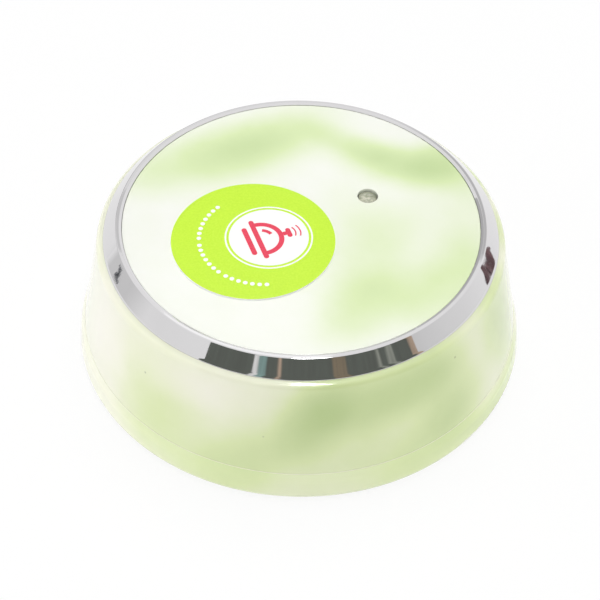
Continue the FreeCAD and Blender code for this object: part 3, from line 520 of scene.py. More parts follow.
# Painted shade: the epoxy darkens towards one side and towards its rim, for the shade of the disc's hole.
shaded = (lens_x - LAMP_X) * 0.55 + (lens_y - LAMP_Y)
milky_and_shade = epoxy.over(epoxy.spread(shaded, -0.3, 1.4, 0.0, 0.6), milky_and_shade, (0.26, 0.30, 0.20, 1))
from_axis = (lens_x - LAMP_X) * (lens_x - LAMP_X) + (lens_y - LAMP_Y) * (lens_y - LAMP_Y)
epoxy.feed("Base Color", epoxy.over(epoxy.spread(from_axis, 1.3, 2.2, 0.0, 0.5), milky_and_shade,
                                    (0.42, 0.44, 0.33, 1)))
epoxy.feed("Roughness", epoxy.spread(epoxy.noise(0.5), 0.3, 0.7, 0.08, 0.16))
lens_profile = [(0, LAMP_FLANGE_FOOT), (LAMP_FLANGE_RADIUS, LAMP_FLANGE_FOOT),
                (LAMP_FLANGE_RADIUS, LAMP_FLANGE_TOP - 0.1), (LAMP_FLANGE_RADIUS - 0.1, LAMP_FLANGE_TOP),
                (LAMP_RADIUS, LAMP_FLANGE_TOP)]
lens_profile += [(radius, LAMP_TOP - LAMP_DOME * (radius / LAMP_RADIUS) ** DOME_FULLNESS)
                 for radius, height in arc(0, 0, LAMP_RADIUS, 0, 84, 14)] + [(0, LAMP_TOP)]
own_piece("lamp_lens", turned("lamp_lens", lens_profile, 64, LAMP_X, LAMP_Y), epoxy, "case",
          ["indicator_led"])


def metal(name, dark, light, rough, grain=0.6):
    """Bare or plated metal: colour and gloss drift a little, with fine handling marks."""
    skin = Finish(name, {"Metallic": 1.0})
    skin.feed("Base Color", skin.over(skin.spread(skin.noise(2.0, 4.0), 0.3, 0.7), dark, light))
    skin.touch((grain, 4.0), rough, rough + 0.14, (grain * 0.5, 3.0), 0.2, 0.006)
    return skin


tinned = metal("tinned_steel", (0.56, 0.56, 0.54, 1), (0.68, 0.68, 0.66, 1), 0.22)
CUP_FLOOR, CUP_TOP = 22.3, 23.0
cup_profile = [(0, CUP_FLOOR - 0.3), (0.55, CUP_FLOOR - 0.3), (0.95, CUP_TOP - 0.1), (0.95, CUP_TOP),
               (0.86, CUP_TOP), (0.42, CUP_FLOOR), (0, CUP_FLOOR)]
own_piece("lamp_reflector_cup", turned("lamp_reflector_cup", cup_profile, 48, LAMP_X, LAMP_Y),
          tinned, "case")
dress(nodes["led_leads"], tinned)

nylon = Finish("white_nylon", {"Specular IOR Level": 0.4})
nylon.feed("Base Color", nylon.over(nylon.noise(1.5, 3.0), (0.78, 0.78, 0.74, 1),
                                    (0.88, 0.88, 0.85, 1)))
nylon.touch((0.6, 3.0), 0.42, 0.55, (0.3, 2.0), 0.2, 0.01)
dress(nodes["led_spacer"], nylon)


# ---- springs, screws and washers of the disc ----------------------------------------------
# Three open coils of spring wire with closed ends lift the disc. They stand round its posts
# between the deck and the disc, and shorten by the disc's travel. A screw and a washer under
# each post stop the disc from lifting out.

GUIDE_CIRCLE, GUIDE_FIRST, GUIDE_COUNT = 24.4, 30, 3
SPRING_RADIUS, SPRING_WIRE, SPRING_TURNS = 2.65, 0.25, 4.5
SPRING_FOOT, SPRING_HEAD = 19.5, 23.55
WOUND_STEPS = 28              # runs of wire in each turn


def on_circle(count, circle, first, level=0.0):
    """Places spread evenly round Z, first angle in degrees."""
    turns = [math.radians(first + 360 / count * i) for i in range(count)]
    return [(circle * math.cos(t), circle * math.sin(t), level) for t in turns]


winding = Recipe("wound_wire")
wound_turns, wound_radius, wound_height, wound_wire, closed_share = [
    winding.size(title) for title in ("Turns", "Radius", "Height", "Wire", "Closed Share")]
spiral = winding.node("GeometryNodeCurveSpiral", {}, {
    "Resolution": WOUND_STEPS, "Rotations": wound_turns, "Start Radius": wound_radius,
    "End Radius": wound_radius, "Height": wound_height})
along = winding.node("GeometryNodeSplineParameter", output="Factor")
risen = winding.node("ShaderNodeMapRange", {}, {
    "Value": along, "From Min": closed_share, "From Max": 1 - closed_share})
lift = winding.node("ShaderNodeCombineXYZ", {}, [0.0, 0.0, (risen - along) * wound_height])
path = winding.node("GeometryNodeSetPosition", {}, {"Geometry": spiral, "Offset": lift})
section = winding.node("GeometryNodeCurvePrimitiveCircle", {}, {"Resolution": 12, "Radius": wound_wire})
wound = winding.node("GeometryNodeCurveToMesh", {}, {
    "Curve": path, "Profile Curve": section, "Fill Caps": True})

spring_steel = metal("spring_steel", (0.42, 0.42, 0.43, 1), (0.58, 0.58, 0.58, 1), 0.18, 0.3)
winding.repeat(winding.node("GeometryNodeSetShadeSmooth", {}, {"Geometry": wound}), spring_steel)
spring_places = on_circle(GUIDE_COUNT, GUIDE_CIRCLE, GUIDE_FIRST, SPRING_FOOT + SPRING_WIRE)
springs = own_piece("disc_springs", winding.made("disc_springs", spring_places, {
    "Turns": SPRING_TURNS, "Radius": SPRING_RADIUS, "Wire": SPRING_WIRE, "Closed Share": 0.12,
    "Height": SPRING_HEAD - SPRING_FOOT - 2 * SPRING_WIRE}), spring_steel, "press_disc",
    ["return_springs"])
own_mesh(springs)

zinc = metal("zinc_plated_steel", (0.58, 0.58, 0.56, 1), (0.72, 0.72, 0.70, 1), 0.24)
for part in ("plate_screws", "plate_washers", "board_screws"):
    dress(nodes[part], zinc)


# ---- circuit board ------------------------------------------------------------------------
# Glass laminate under green solder mask, with copper tracks showing through it as a lighter
# green and the bare laminate at its rim. Three screws hold it under the deck.

BOARD_RADIUS, RIM_BARE = 21.2, 0.05
mask = Finish("solder_mask", {"Coat Weight": 0.4, "Coat Roughness": 0.12})
track_plan = mask.node("ShaderNodeVectorMath", {"operation": "MULTIPLY"}, [mask.place, (1.0, 1.0, 0.0)])
cells = mask.node("ShaderNodeTexVoronoi", {"distance": "CHEBYCHEV", "feature": "DISTANCE_TO_EDGE"}, {
    "Vector": track_plan, "Scale": 0.28, "Randomness": 0.75}, "Distance")
track = mask.spread(cells, 0.055, 0.075, 1.0, 0.0)
laminate = mask.over(mask.noise(0.5, 2.0), (0.42, 0.38, 0.18, 1), (0.52, 0.47, 0.24, 1))
green = mask.over(track, (0.012, 0.105, 0.040, 1), (0.030, 0.200, 0.070, 1))
thin_mask = mask.spread(mask.noise(5.0, 3.0), 0.3, 0.7, 0.0, 0.25)
green = mask.over(thin_mask, green, (0.02, 0.13, 0.06, 1))
board_x, board_y, board_z = mask.axes(mask.place)
at_rim = (board_x * board_x + board_y * board_y) > (BOARD_RADIUS - RIM_BARE) ** 2
mask.feed("Base Color", mask.over(at_rim, green, laminate))
mask.feed("Roughness", mask.spread(mask.noise(1.0, 2.0), 0.3, 0.7, 0.28, 0.40))
mask.bump(track, 0.5, 0.03)
dress(nodes["circuit_board"], mask)

SOLDER_RADIUS, SOLDER_TIP, SOLDER_HEIGHT, BOARD_UNDERSIDE = 0.75, 0.42, 0.7, 14.5
SWITCH_PIN_X, SWITCH_PIN_Y, LAMP_LEAD_X = 3.2, 2.25, 1.0
joint_spots = [(side * SWITCH_PIN_X, end * SWITCH_PIN_Y) for side in (-1, 1) for end in (-1, 1)]
joint_spots += [(LAMP_X + side * LAMP_LEAD_X, LAMP_Y) for side in (-1, 1)]
solder = metal("solder", (0.50, 0.50, 0.49, 1), (0.64, 0.64, 0.62, 1), 0.16, 0.4)
fillets = Recipe("solder_fillets")
foot, tip, rise = fillets.size("Foot Radius"), fillets.size("Tip Radius"), fillets.size("Height")
cone = fillets.node("GeometryNodeMeshCone", {}, {
    "Vertices": 20, "Side Segments": 4, "Radius Top": tip, "Radius Bottom": foot,
    "Depth": rise}, "Mesh")
fillets.repeat(fillets.node("GeometryNodeSetShadeSmooth", {}, {"Geometry": cone}), solder,
               (math.pi, 0.0, 0.0))
own_piece("solder_joints", fillets.made("solder_joints", [
    (x, y, BOARD_UNDERSIDE) for x, y in joint_spots], {
        "Foot Radius": SOLDER_RADIUS, "Tip Radius": SOLDER_TIP, "Height": SOLDER_HEIGHT}),
    solder, "case")


# ---- switch and parts on the board --------------------------------------------------------
# A 6 mm push switch in the middle, two transistors, resistors and capacitors on top; the
# encoder chip, the round frequency can and the aerial coil hang below.

def moulded(name, dark, light, rough):
    """Moulded resin or ceramic: a faint mottle and a fine matt grain."""
    resin = Finish(name, {"Specular IOR Level": 0.45})
    resin.feed("Base Color", resin.over(resin.noise(0.8, 3.0), dark, light))
    resin.touch((0.4, 3.0), rough, rough + 0.15, (0.15, 2.0), 0.3, 0.01)
    return resin


black_resin = moulded("black_resin", (0.012, 0.012, 0.013, 1), (0.030, 0.030, 0.031, 1), 0.45)
for part in ("tact_switch_housing", "tact_switch_button", "encoder_chip", "rf_transistors"):
    dress(nodes[part], black_resin)
for part in ("tact_switch_cover", "tact_switch_terminals", "encoder_chip_pins"):
    dress(nodes[part], tinned)
dress(nodes["saw_resonator"], metal("nickel_can", (0.60, 0.58, 0.54, 1), (0.70, 0.68, 0.64, 1), 0.20))


CAP_LENGTH, CAP_MARGIN, CHIP_HALF = 0.42, 0.2, 1.0
TIN = (0.62, 0.62, 0.60, 1)


def chip_part(name, body_dark, body_light, centres, half_length):
    """A block with tinned caps at both ends, from how far a point is from its middle along X."""
    block = Finish(name, {})
    x = block.axes(block.place)[0]
    ends = None
    for centre in centres:
        off = x.maths("ABSOLUTE", x - centre)
        near = (off > half_length - CAP_LENGTH) * (1 - (off > half_length + CAP_MARGIN))
        ends = near if ends is None else ends + near
    ends = ends.maths("MINIMUM", ends, 1.0)
    body = block.over(block.noise(0.5, 3.0), body_dark, body_light)
    block.feed("Base Color", block.over(ends, body, TIN))
    block.feed("Metallic", ends)
    block.touch((0.4, 3.0), 0.3, 0.45, (0.2, 2.0), 0.3, 0.008)
    return block


dress(nodes["chip_resistors"], chip_part(
    "resistor_blocks", (0.015, 0.015, 0.016, 1), (0.035, 0.035, 0.036, 1),
    (-9.0, -5.4, -1.8, 1.8, 5.4, 9.0), CHIP_HALF))
dress(nodes["chip_capacitors"], chip_part(
    "capacitor_blocks", (0.42, 0.30, 0.18, 1), (0.54, 0.40, 0.26, 1), (-9.0, -5.0, -1.0), CHIP_HALF))

COIL_X, COIL_Y, COIL_Z = -14.5, 12.5, 11.1
COIL_RADIUS, COIL_WIRE, COIL_LENGTH, COIL_TURNS = 2.0, 0.3, 11.2, 8
copper = metal("bare_copper", (0.62, 0.27, 0.14, 1), (0.78, 0.38, 0.22, 1), 0.20, 0.3)
aerial = winding.made("aerial_coil", [(0, 0, 0)], {
    "Turns": COIL_TURNS, "Radius": COIL_RADIUS, "Wire": COIL_WIRE, "Height": COIL_LENGTH,
    "Closed Share": 0.0})
aerial.transform(Matrix.Translation(Vector((COIL_X, COIL_Y, COIL_Z)) * MM)
                 @ Matrix.Rotation(math.radians(90), 4, "Y"))
legs = bmesh.new()
legs.from_mesh(aerial)
for x in (COIL_X, COIL_X + COIL_LENGTH):
    low, high = COIL_Z - COIL_RADIUS, BOARD_UNDERSIDE
    made = bmesh.ops.create_cone(legs, cap_ends=True, segments=12, radius1=COIL_WIRE * MM,
                                 radius2=COIL_WIRE * MM, depth=(high - low) * MM)
    bmesh.ops.translate(legs, vec=Vector((x, COIL_Y, (low + high) / 2)) * MM, verts=made["verts"])
legs.to_mesh(aerial)
legs.free()
own_piece("aerial_winding", aerial, copper, "case", ["antenna_coil"])


# ---- battery and its contacts -------------------------------------------------------------
# A small 12 V cell in a printed shrink sleeve lies along X over the door, between a flat plate
# with a dimple and a plate with a cone-shaped spring, both nickel-plated and soldered above.

BATTERY_AXIS, BATTERY_FLAT_END, BATTERY_END, BATTERY_RADIUS = 7.75, -11.95, 16.55, 5.15
TERMINAL_RADIUS, TERMINAL_HEIGHT, SLEEVE_MOUTH, CELL_EDGE = 2.6, 0.9, 4.4, 0.5
CRIMP_MIDDLE, CRIMP_HALF, CRIMP_DEPTH, END_DISH = 2.0, 0.3, 0.12, 0.15
STRIPE_FAR, STRIPE_NEAR = 8.5, 2.9
can_end = BATTERY_END - TERMINAL_HEIGHT
cell_profile = [(0, BATTERY_FLAT_END), (4.0, BATTERY_FLAT_END),
                (4.15, BATTERY_FLAT_END + CRIMP_DEPTH), (SLEEVE_MOUTH, BATTERY_FLAT_END)]
cell_profile += arc(BATTERY_RADIUS - CELL_EDGE, BATTERY_FLAT_END + CELL_EDGE, CELL_EDGE, -80, 0, 5)
cell_profile += [(BATTERY_RADIUS, can_end - CRIMP_MIDDLE - CRIMP_HALF),
                 (BATTERY_RADIUS - CRIMP_DEPTH, can_end - CRIMP_MIDDLE),
                 (BATTERY_RADIUS, can_end - CRIMP_MIDDLE + CRIMP_HALF)]
cell_profile += arc(BATTERY_RADIUS - CELL_EDGE, can_end - CELL_EDGE, CELL_EDGE, 0, 80, 5)
cell_profile += [(SLEEVE_MOUTH, can_end), (4.2, can_end - END_DISH),
                 (TERMINAL_RADIUS + 0.25, can_end - END_DISH), (TERMINAL_RADIUS, can_end),
                 (TERMINAL_RADIUS, BATTERY_END - END_DISH), (TERMINAL_RADIUS - END_DISH, BATTERY_END),
                 (0, BATTERY_END)]
cell = turned("battery_cell", cell_profile, 96)
cell.transform(Matrix.Translation((0, 0, BATTERY_AXIS * MM))
               @ Matrix.Rotation(math.radians(90), 4, "Y"))
sleeve = Finish("battery_sleeve", {"Coat Weight": 0.5, "Coat Roughness": 0.08})
cell_x, cell_y, cell_z = sleeve.axes(sleeve.place)
out = cell_y * cell_y + (cell_z - BATTERY_AXIS) * (cell_z - BATTERY_AXIS)
bare = 1 - (out > SLEEVE_MOUTH ** 2)
band = (cell_x > can_end - STRIPE_FAR) * (1 - (cell_x > can_end - STRIPE_NEAR))
paint = sleeve.over(sleeve.noise(3.0, 3.0), (0.020, 0.028, 0.060, 1), (0.032, 0.042, 0.085, 1))
paint = sleeve.over(band, paint, (0.62, 0.44, 0.10, 1))
sleeve.feed("Base Color", sleeve.over(bare, paint, TIN))
sleeve.feed("Metallic", bare)
sleeve.touch((0.8, 3.0), 0.25, 0.38, (1.2, 3.0), 0.25, 0.02)
own_piece("battery_cell", cell, sleeve, "case", ["battery"])
nickel = metal("nickel_plate", (0.60, 0.59, 0.56, 1), (0.72, 0.71, 0.68, 1), 0.18)
for part in ("battery_contact_positive", "battery_contact_negative"):
    dress(nodes[part], nickel)


# ---- battery door, feet and case screws ---------------------------------------------------
# The door is a flap in the same plastic that clips shut and swings on two moulded pins. Four
# rubber pads are glued into recesses, and four cross-headed screws sit deep in the underside.

dress(nodes["battery_door"], disc_plastic)

FOOT_CIRCLE, FOOT_RADIUS, FOOT_TOP, FOOT_EDGE = 29.5, 4.0, 1.3, 0.35
GROOVE_RADII, GROOVE_MOUTH, GROOVE_DEPTH = (2.6, 1.5), 0.28, 0.14
foot_profile = [(0, FOOT_TOP), (FOOT_RADIUS, FOOT_TOP)]
foot_profile += arc(FOOT_RADIUS - FOOT_EDGE, FOOT_EDGE, FOOT_EDGE, 0, -90, 5)
for groove in GROOVE_RADII:
    foot_profile += [(groove + GROOVE_MOUTH, 0), (groove + GROOVE_DEPTH, GROOVE_DEPTH),
                     (groove - GROOVE_DEPTH, GROOVE_DEPTH), (groove - GROOVE_MOUTH, 0)]
foot_profile += [(0, 0)]
rubber = moulded("black_rubber", (0.022, 0.022, 0.022, 1), (0.045, 0.045, 0.044, 1), 0.62)


MOST_TURN, TURN_SEED = 6.28, 5


def scattered(name, template, finish, places):
    """Copies of a mesh in millimetres on places, each turned by its own amount round Z."""
    holder = bpy.data.objects.new(name + "_pattern", template)
    bpy.context.scene.collection.objects.link(holder)
    recipe = Recipe(name)
    spin = recipe.size("Most Turn")
    shape = recipe.node("GeometryNodeObjectInfo", {}, {"Object": holder}, "Geometry")
    own_turn = recipe.node("FunctionNodeRandomValue", {"data_type": "FLOAT"},
                           {"Max": spin, "Seed": TURN_SEED}, 1)
    recipe.repeat(shape, finish, recipe.node("ShaderNodeCombineXYZ", {}, [0.0, 0.0, own_turn]))
    mesh = recipe.made(name, places, {"Most Turn": MOST_TURN})
    bpy.data.objects.remove(holder)
    return mesh


def in_millimetres(mesh):
    mesh.transform(Matrix.Scale(1 / MM, 4))
    return mesh


feet = scattered("foot_pads", in_millimetres(turned("foot_pad", foot_profile, 64)), rubber,
                 on_circle(4, FOOT_CIRCLE, 0))
own_piece("foot_pads", feet, rubber, "case", ["rubber_feet"])

CASE_SCREW_CIRCLE, CASE_SCREW_SEAT, HEAD_RADIUS, HEAD_HEIGHT = 29.0, 2.7, 2.3, 1.5
SHANK_RADIUS, THREAD_DEPTH, THREAD_PITCH, SHANK_LENGTH = 1.1, 0.22, 0.8, 10.0
HEAD_ROUND, NECK, THREAD_FROM, TIP_TAPER, TIP_SHARE = 0.82, 0.4, 0.3, 1.2, 0.25
RECESS_LENGTH, RECESS_WIDTH, RECESS_HEIGHT, RECESS_SINK, RECESS_TAPER = 2.7, 0.68, 1.5, 0.02, 0.62


def threaded_screw(name):
    """A pan-head screw, head down, with a rolled thread and a cross recess."""
    low = CASE_SCREW_SEAT - HEAD_HEIGHT
    profile = [(0, low)] + arc(HEAD_RADIUS - HEAD_ROUND, low + HEAD_ROUND, HEAD_ROUND, -90, 0, 7)
    profile += [(HEAD_RADIUS, CASE_SCREW_SEAT), (SHANK_RADIUS, CASE_SCREW_SEAT)]
    profile += [(SHANK_RADIUS, CASE_SCREW_SEAT + NECK), (0, CASE_SCREW_SEAT + NECK)]
    rings = int(SHANK_LENGTH / THREAD_PITCH * 6)
    head = in_millimetres(turned(name, profile, 48))
    shape = bmesh.new()
    shape.from_mesh(head)
    steps, rows = 24, []
    for k in range(rings + 1):
        height = THREAD_FROM + (SHANK_LENGTH - THREAD_FROM) * k / rings
        taper = min(1.0, (SHANK_LENGTH - height) / TIP_TAPER + TIP_SHARE)
        row = []
        for i in range(steps):
            turn = 2 * math.pi * i / steps
            phase = (height / THREAD_PITCH - i / steps) % 1.0
            radius = (SHANK_RADIUS - THREAD_DEPTH * abs(2 * phase - 1)) * taper
            row.append(shape.verts.new((radius * math.cos(turn), radius * math.sin(turn),
                                        CASE_SCREW_SEAT + height)))
        rows.append(row)
    for k in range(rings):
        for i in range(steps):
            j = (i + 1) % steps
            shape.faces.new([rows[k][i], rows[k][j], rows[k + 1][j], rows[k + 1][i]]).smooth = True
    shape.faces.new(rows[-1])
    shape.faces.new(rows[0][::-1])
    bmesh.ops.recalc_face_normals(shape, faces=shape.faces)
    shape.to_mesh(head)
    shape.free()
    body = bpy.data.objects.new(name, head)
    cutter_mesh = bpy.data.meshes.new(name + "_recess")
    cut = bmesh.new()
    for x, y in ((RECESS_LENGTH, RECESS_WIDTH), (RECESS_WIDTH, RECESS_LENGTH)):
        made = bmesh.ops.create_cube(cut, size=1.0)
        bmesh.ops.scale(cut, vec=(x, y, RECESS_HEIGHT), verts=made["verts"])
        bmesh.ops.translate(cut, vec=(0, 0, low + RECESS_SINK), verts=made["verts"])
        for v in made["verts"]:
            if v.co.z > low:
                v.co.x, v.co.y = v.co.x * RECESS_TAPER, v.co.y * RECESS_TAPER
    cut.to_mesh(cutter_mesh)
    cut.free()
    cutter = bpy.data.objects.new(name + "_recess", cutter_mesh)
    for held in (body, cutter):
        bpy.context.scene.collection.objects.link(held)
    recess = body.modifiers.new("recess", "BOOLEAN")
    recess.operation, recess.object, recess.use_self = "DIFFERENCE", cutter, True
    graph = bpy.context.evaluated_depsgraph_get()
    finished = bpy.data.meshes.new_from_object(body.evaluated_get(graph), depsgraph=graph)
    for held in (body, cutter):
        bpy.data.objects.remove(held)
    return finished


screw_mesh = scattered("case_screw_set", threaded_screw("case_screw"), zinc,
                       on_circle(4, CASE_SCREW_CIRCLE, 45))
own_piece("case_screw_set", screw_mesh, zinc, "case", ["case_screws"])


# ---- studio -------------------------------------------------------------------------------
# A plain white table top under soft lamps, walls and things that only mirrors show, and the
# camera. None of it belongs to the object.

def flat_card(name, corners, finish, mirrored_only=False):
    """A sheet of the studio from its corners in millimetres, taken in pairs: bottom and top."""
    mesh = bpy.data.meshes.new(name)
    pairs = len(corners) // 2
    mesh.from_pydata([tuple(c * MM for c in corner) for corner in corners], [],
                     [(2 * i, 2 * i + 2, 2 * i + 3, 2 * i + 1) for i in range(pairs - 1)])
    mesh.materials.append(finish.material)
    card = bpy.data.objects.new(name, mesh)
    bpy.context.scene.collection.objects.link(card)
    if mirrored_only:
        for kind in ("camera", "diffuse", "shadow", "transmission", "volume_scatter"):
            setattr(card, "visible_" + kind, False)


def shown(network):
    """Light Path: 1 for what the camera sees, straight, in a mirror or through glass."""
    rays = [network.node("ShaderNodeLightPath", output=name) for name in
            ("Is Camera Ray", "Is Glossy Ray", "Is Transmission Ray")]
    return rays[0].maths("MAXIMUM", rays[0].maths("MAXIMUM", rays[0], rays[1]), rays[2])


def give_surface(network, look, end):
    """Ends a material or the world with a look in place of the one it began with."""
    network.tree.links.new(look.socket, network.tree.nodes[end].inputs["Surface"])


TABLE_HALF = 3000
KEPT_SHADOW = 0.12            # share of the table's shading that stays under its own white
table_white = Finish("table_white", {"Roughness": 0.9, "Specular IOR Level": 0.0})
table_white.feed("Base Color", table_white.over(table_white.noise(40.0), (0.93, 0.93, 0.93, 1),
                                                (0.95, 0.95, 0.95, 1)))
table_glow = table_white.node("ShaderNodeEmission", {}, {"Color": (1, 1, 1, 1), "Strength": 1.0})
table_mix = table_white.node("ShaderNodeMixShader", {}, [
    shown(table_white) * (1 - KEPT_SHADOW), Wire(table_white, table_white.shader.outputs[0]),
    table_glow])
give_surface(table_white, table_mix, "Material Output")
flat_card("table_top", [(-TABLE_HALF, -TABLE_HALF, 0), (-TABLE_HALF, TABLE_HALF, 0),
                        (TABLE_HALF, -TABLE_HALF, 0), (TABLE_HALF, TABLE_HALF, 0)], table_white)


def glowing(finish, colour, strength=1.0):
    """Turns a finish into one that shines its own colour, for what only mirrors show."""
    light = finish.node("ShaderNodeEmission", {}, {"Color": colour, "Strength": strength})
    give_surface(finish, light, "Material Output")


def aimed(azimuth_deg, elevation_deg, distance, start=(0.0, 0.0, 0.0)):
    """A place seen from start in a direction, azimuth from the front and to the right."""
    side, rise = math.radians(azimuth_deg), math.radians(elevation_deg)
    return (start[0] + distance * math.cos(rise) * math.sin(side),
            start[1] - distance * math.cos(rise) * math.cos(side), start[2] + distance * math.sin(rise))


CURTAIN_DISTANCE, CURTAIN_STEP, SHADOW_TONE = 2000, 2.5, (0.10, 0.10, 0.09, 1)


def curtain(name, bands, low, high, mottle=0.0, frayed=0.0, haze=0.0):
    """A far wall from its colours by azimuth, between two elevations; only mirrors show it."""
    wall = Finish(name, {})
    x, y, z = wall.axes(wall.place)
    first, last = bands[0][0], bands[-1][0]
    middle = math.radians((first + last) / 2)
    ahead = x * math.sin(middle) - y * math.cos(middle)
    aside = x * math.cos(middle) + y * math.sin(middle)
    turn = aside.maths("ARCTAN2", aside, ahead) * (180 / math.pi) + (first + last) / 2
    turn = turn + wall.spread(wall.noise(130.0, 3.0), 0.3, 0.7, -frayed, frayed)
    stops = [((turn_deg - first) / (last - first), colour + (1,)) for turn_deg, colour in bands]
    colours = wall.node("ShaderNodeValToRGB", {"stops": [stops[0], stops[-1]] + stops[1:-1]},
                        [wall.spread(turn, first, last)])
    share = wall.spread(wall.noise(60.0, 4.0), 0.4, 0.7, 0.0, mottle)
    tone = wall.over(share, colours, SHADOW_TONE)
    if haze:
        tone = wall.over(wall.spread(z, 0.0, haze), (1, 1, 1, 1), tone)
    glowing(wall, tone)
    corners, count = [], round((last - first) / CURTAIN_STEP)
    for i in range(count + 1):
        step = first + (last - first) * i / count
        corners += [aimed(step, rise, CURTAIN_DISTANCE) for rise in (low, high)]
    flat_card(name, corners, wall, mirrored_only=True)


# The wall before the table is dark, and a few things stand there. Each band begins at an azimuth,
# in degrees from the front to the right, and goes on to the next one.
DARK, WHITE_GAP, TEAL = (0.14, 0.155, 0.135), (0.93, 0.93, 0.91), (0.30, 0.45, 0.42)
OLIVE, BROWN, TAN = (0.34, 0.36, 0.31), (0.28, 0.23, 0.16), (0.58, 0.44, 0.33)
ROOM_FIRST, ROOM_LAST, SOFT_EDGE, WALL_TOP = -49, 63, 0.5, 44
ROOM_BANDS = [(ROOM_FIRST, DARK), (-24, WHITE_GAP), (-21, TEAL), (-17, DARK), (-11, TAN),
              (-9, DARK), (18, BROWN), (26, DARK), (42, OLIVE), (44, DARK), (48, OLIVE),
              (51, DARK), (60, TAN)]
room = []
for start, tone in ROOM_BANDS:
    room += [(start - SOFT_EDGE, room[-1][1]), (start + SOFT_EDGE, tone)] if room else [(start, tone)]
curtain("dark_room", room + [(ROOM_LAST, TAN)], 0, WALL_TOP, mottle=0.35, frayed=0.9)

# The other walls are pale; behind, one is bright and a grey one gives small edges their line.
GLARE, BRIGHT, PALE, MIDDLE, GREY, DIM = [(tone,) * 3 for tone in (1.25, 1.0, 0.94, 0.74, 0.62, 0.55)]
LEFT_HAZE, SCREEN_FOOT, SCREEN_BREAK, SCREEN_TOP = 80.0, 37.5, 42.8, 45.2
curtain("wall_right", [(ROOM_LAST, MIDDLE), (118, BRIGHT)], 0, WALL_TOP)
curtain("wall_left", [(-135, BRIGHT), (-120, MIDDLE), (-100, MIDDLE), (-85, PALE), (ROOM_FIRST, PALE)],
        0, WALL_TOP, haze=LEFT_HAZE)
curtain("wall_behind_left", [(181, PALE), (190, GREY), (205, DIM), (225, DIM), (234, GREY),
                             (244, PALE)], 1, 37)
curtain("pale_screen", [(160, GREY), (172, GREY), (176, PALE), (194, PALE)],
        SCREEN_FOOT, SCREEN_BREAK)
curtain("pale_screen_top", [(160, GREY), (172, GREY), (175, PALE), (185, PALE), (188, MIDDLE),
                            (194, MIDDLE)], SCREEN_BREAK, SCREEN_TOP)
curtain("bright_screen", [(178, GLARE), (188, GLARE)], 45.4, 50.0)

THING_DISTANCE = 250


def small_thing(name, azimuth_deg, start, slices, tints):
    """Something dark beside the object. A slice is its place across, mid height and half height."""
    tone = Finish(name, {})
    glowing(tone, tone.over(tone.spread(tone.noise(8.0, 3.0), 0.3, 0.7), *tints))
    middle = aimed(azimuth_deg, 0, THING_DISTANCE, start)
    side = math.radians(azimuth_deg)
    corners = [(middle[0] + x * math.cos(side), middle[1] + x * math.sin(side), height)
               for x, z, half in slices for height in (z - half, z + half)]
    flat_card(name, corners, tone, mirrored_only=True)


small_thing("thing_right", 118, (29.0, -9.0, 0), [
    (42, 7, 0.4), (36, 11, 1.0), (26, 16, 2.8), (12, 22, 2.6), (-4, 31, 2.6), (-12, 37, 3.4),
    (-20, 39, 1.8), (-32, 44, 0.9)], ((0.085, 0.055, 0.060, 1), (0.235, 0.145, 0.150, 1)))
small_thing("thing_left", -112.7, (-29.0, -11.0, 0), [
    (-3, 43, 0.3), (13, 51, 0.4), (2, 45, 0.3), (18, 52, 0.6), (4, 44, 0.6), (27, 55, 0.4)],
    ((0.05, 0.055, 0.06, 1), (0.15, 0.155, 0.17, 1)))

SOFTBOX_AZIMUTH, SOFTBOX_LOW, SOFTBOX_HIGH, SOFTBOX_HALF = 8.2, 52, 86, 13
SOFTBOX_DISTANCE, SOFTBOX_STRENGTH = 500, 15.0
softbox = Finish("softbox_cloth", {})
glowing(softbox, softbox.over(softbox.noise(80.0, 2.0), (0.97, 0.97, 1.0, 1), (1, 1, 1, 1)),
        SOFTBOX_STRENGTH)
softbox_corners = [aimed(SOFTBOX_AZIMUTH + turn_deg, rise, SOFTBOX_DISTANCE)
                   for turn_deg in (-SOFTBOX_HALF, SOFTBOX_HALF) for rise in (SOFTBOX_LOW, SOFTBOX_HIGH)]
flat_card("softbox_cloth", softbox_corners, softbox, mirrored_only=True)

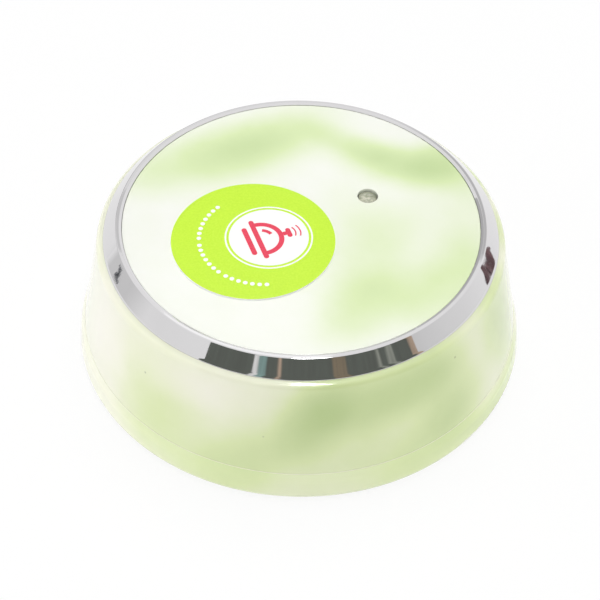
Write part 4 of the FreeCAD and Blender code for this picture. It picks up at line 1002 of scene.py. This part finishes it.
SKY_GIVES, SKY_SEEN = 0.48, 1.0
world = bpy.data.worlds.new("studio")
bpy.context.scene.world = world
world.use_nodes = True
sky = Network(world.node_tree)
skies = [sky.node("ShaderNodeBackground", {}, {"Color": (1, 1, 1, 1), "Strength": strength})
         for strength in (SKY_GIVES, SKY_SEEN)]
give_surface(sky, sky.node("ShaderNodeMixShader", {}, [shown(sky)] + skies), "World Output")


def soft_lamp(name, place, power, size):
    """A square lamp that points at the object and that mirrors don't show; its place in metres."""
    lamp = bpy.data.lights.new(name, "AREA")
    lamp.size, lamp.energy = size, power
    holder = bpy.data.objects.new(name, lamp)
    holder.location = place
    holder.rotation_euler = (-Vector(place)).to_track_quat("-Z", "Y").to_euler()
    holder.visible_glossy = False
    bpy.context.scene.collection.objects.link(holder)


soft_lamp("lamp_overhead", (0.05, 0.25, 0.75), 2.55, 0.6)
soft_lamp("lamp_left", (-0.75, -0.05, 0.2), 1.66, 0.4)
soft_lamp("lamp_right", (0.75, -0.05, 0.18), 1.00, 0.4)
soft_lamp("lamp_front", tuple(c * MM for c in aimed(3.5, 65, 500)), 0.35, 0.14)
soft_lamp("lamp_low_front", (-0.15, -0.8, 0.12), 0.65, 0.4)

FOCAL_PIXELS, FRAME_PIXELS, SENSOR = 1620.82, 600, 36.0
camera_data = bpy.data.cameras.new("camera")
camera_data.sensor_width = SENSOR
camera_data.lens = FOCAL_PIXELS * SENSOR / FRAME_PIXELS
camera = bpy.data.objects.new("camera", camera_data)
CAMERA_PLACE = Vector((0, -191.53, 208.69))
CAMERA_PAN, CAMERA_TILT, CAMERA_ROLL = -0.015, 43.474, 1.243
turn = Matrix.Identity(3)
for axis, angle in (("Z", CAMERA_PAN), ("X", CAMERA_TILT), ("Z", CAMERA_ROLL)):
    turn = turn @ Matrix.Rotation(math.radians(angle), 3, axis)
camera.matrix_world = Matrix.LocRotScale(CAMERA_PLACE * MM, turn.to_quaternion(), None)
bpy.context.scene.collection.objects.link(camera)
bpy.context.scene.camera = camera
bpy.context.scene.view_settings.view_transform = "Standard"
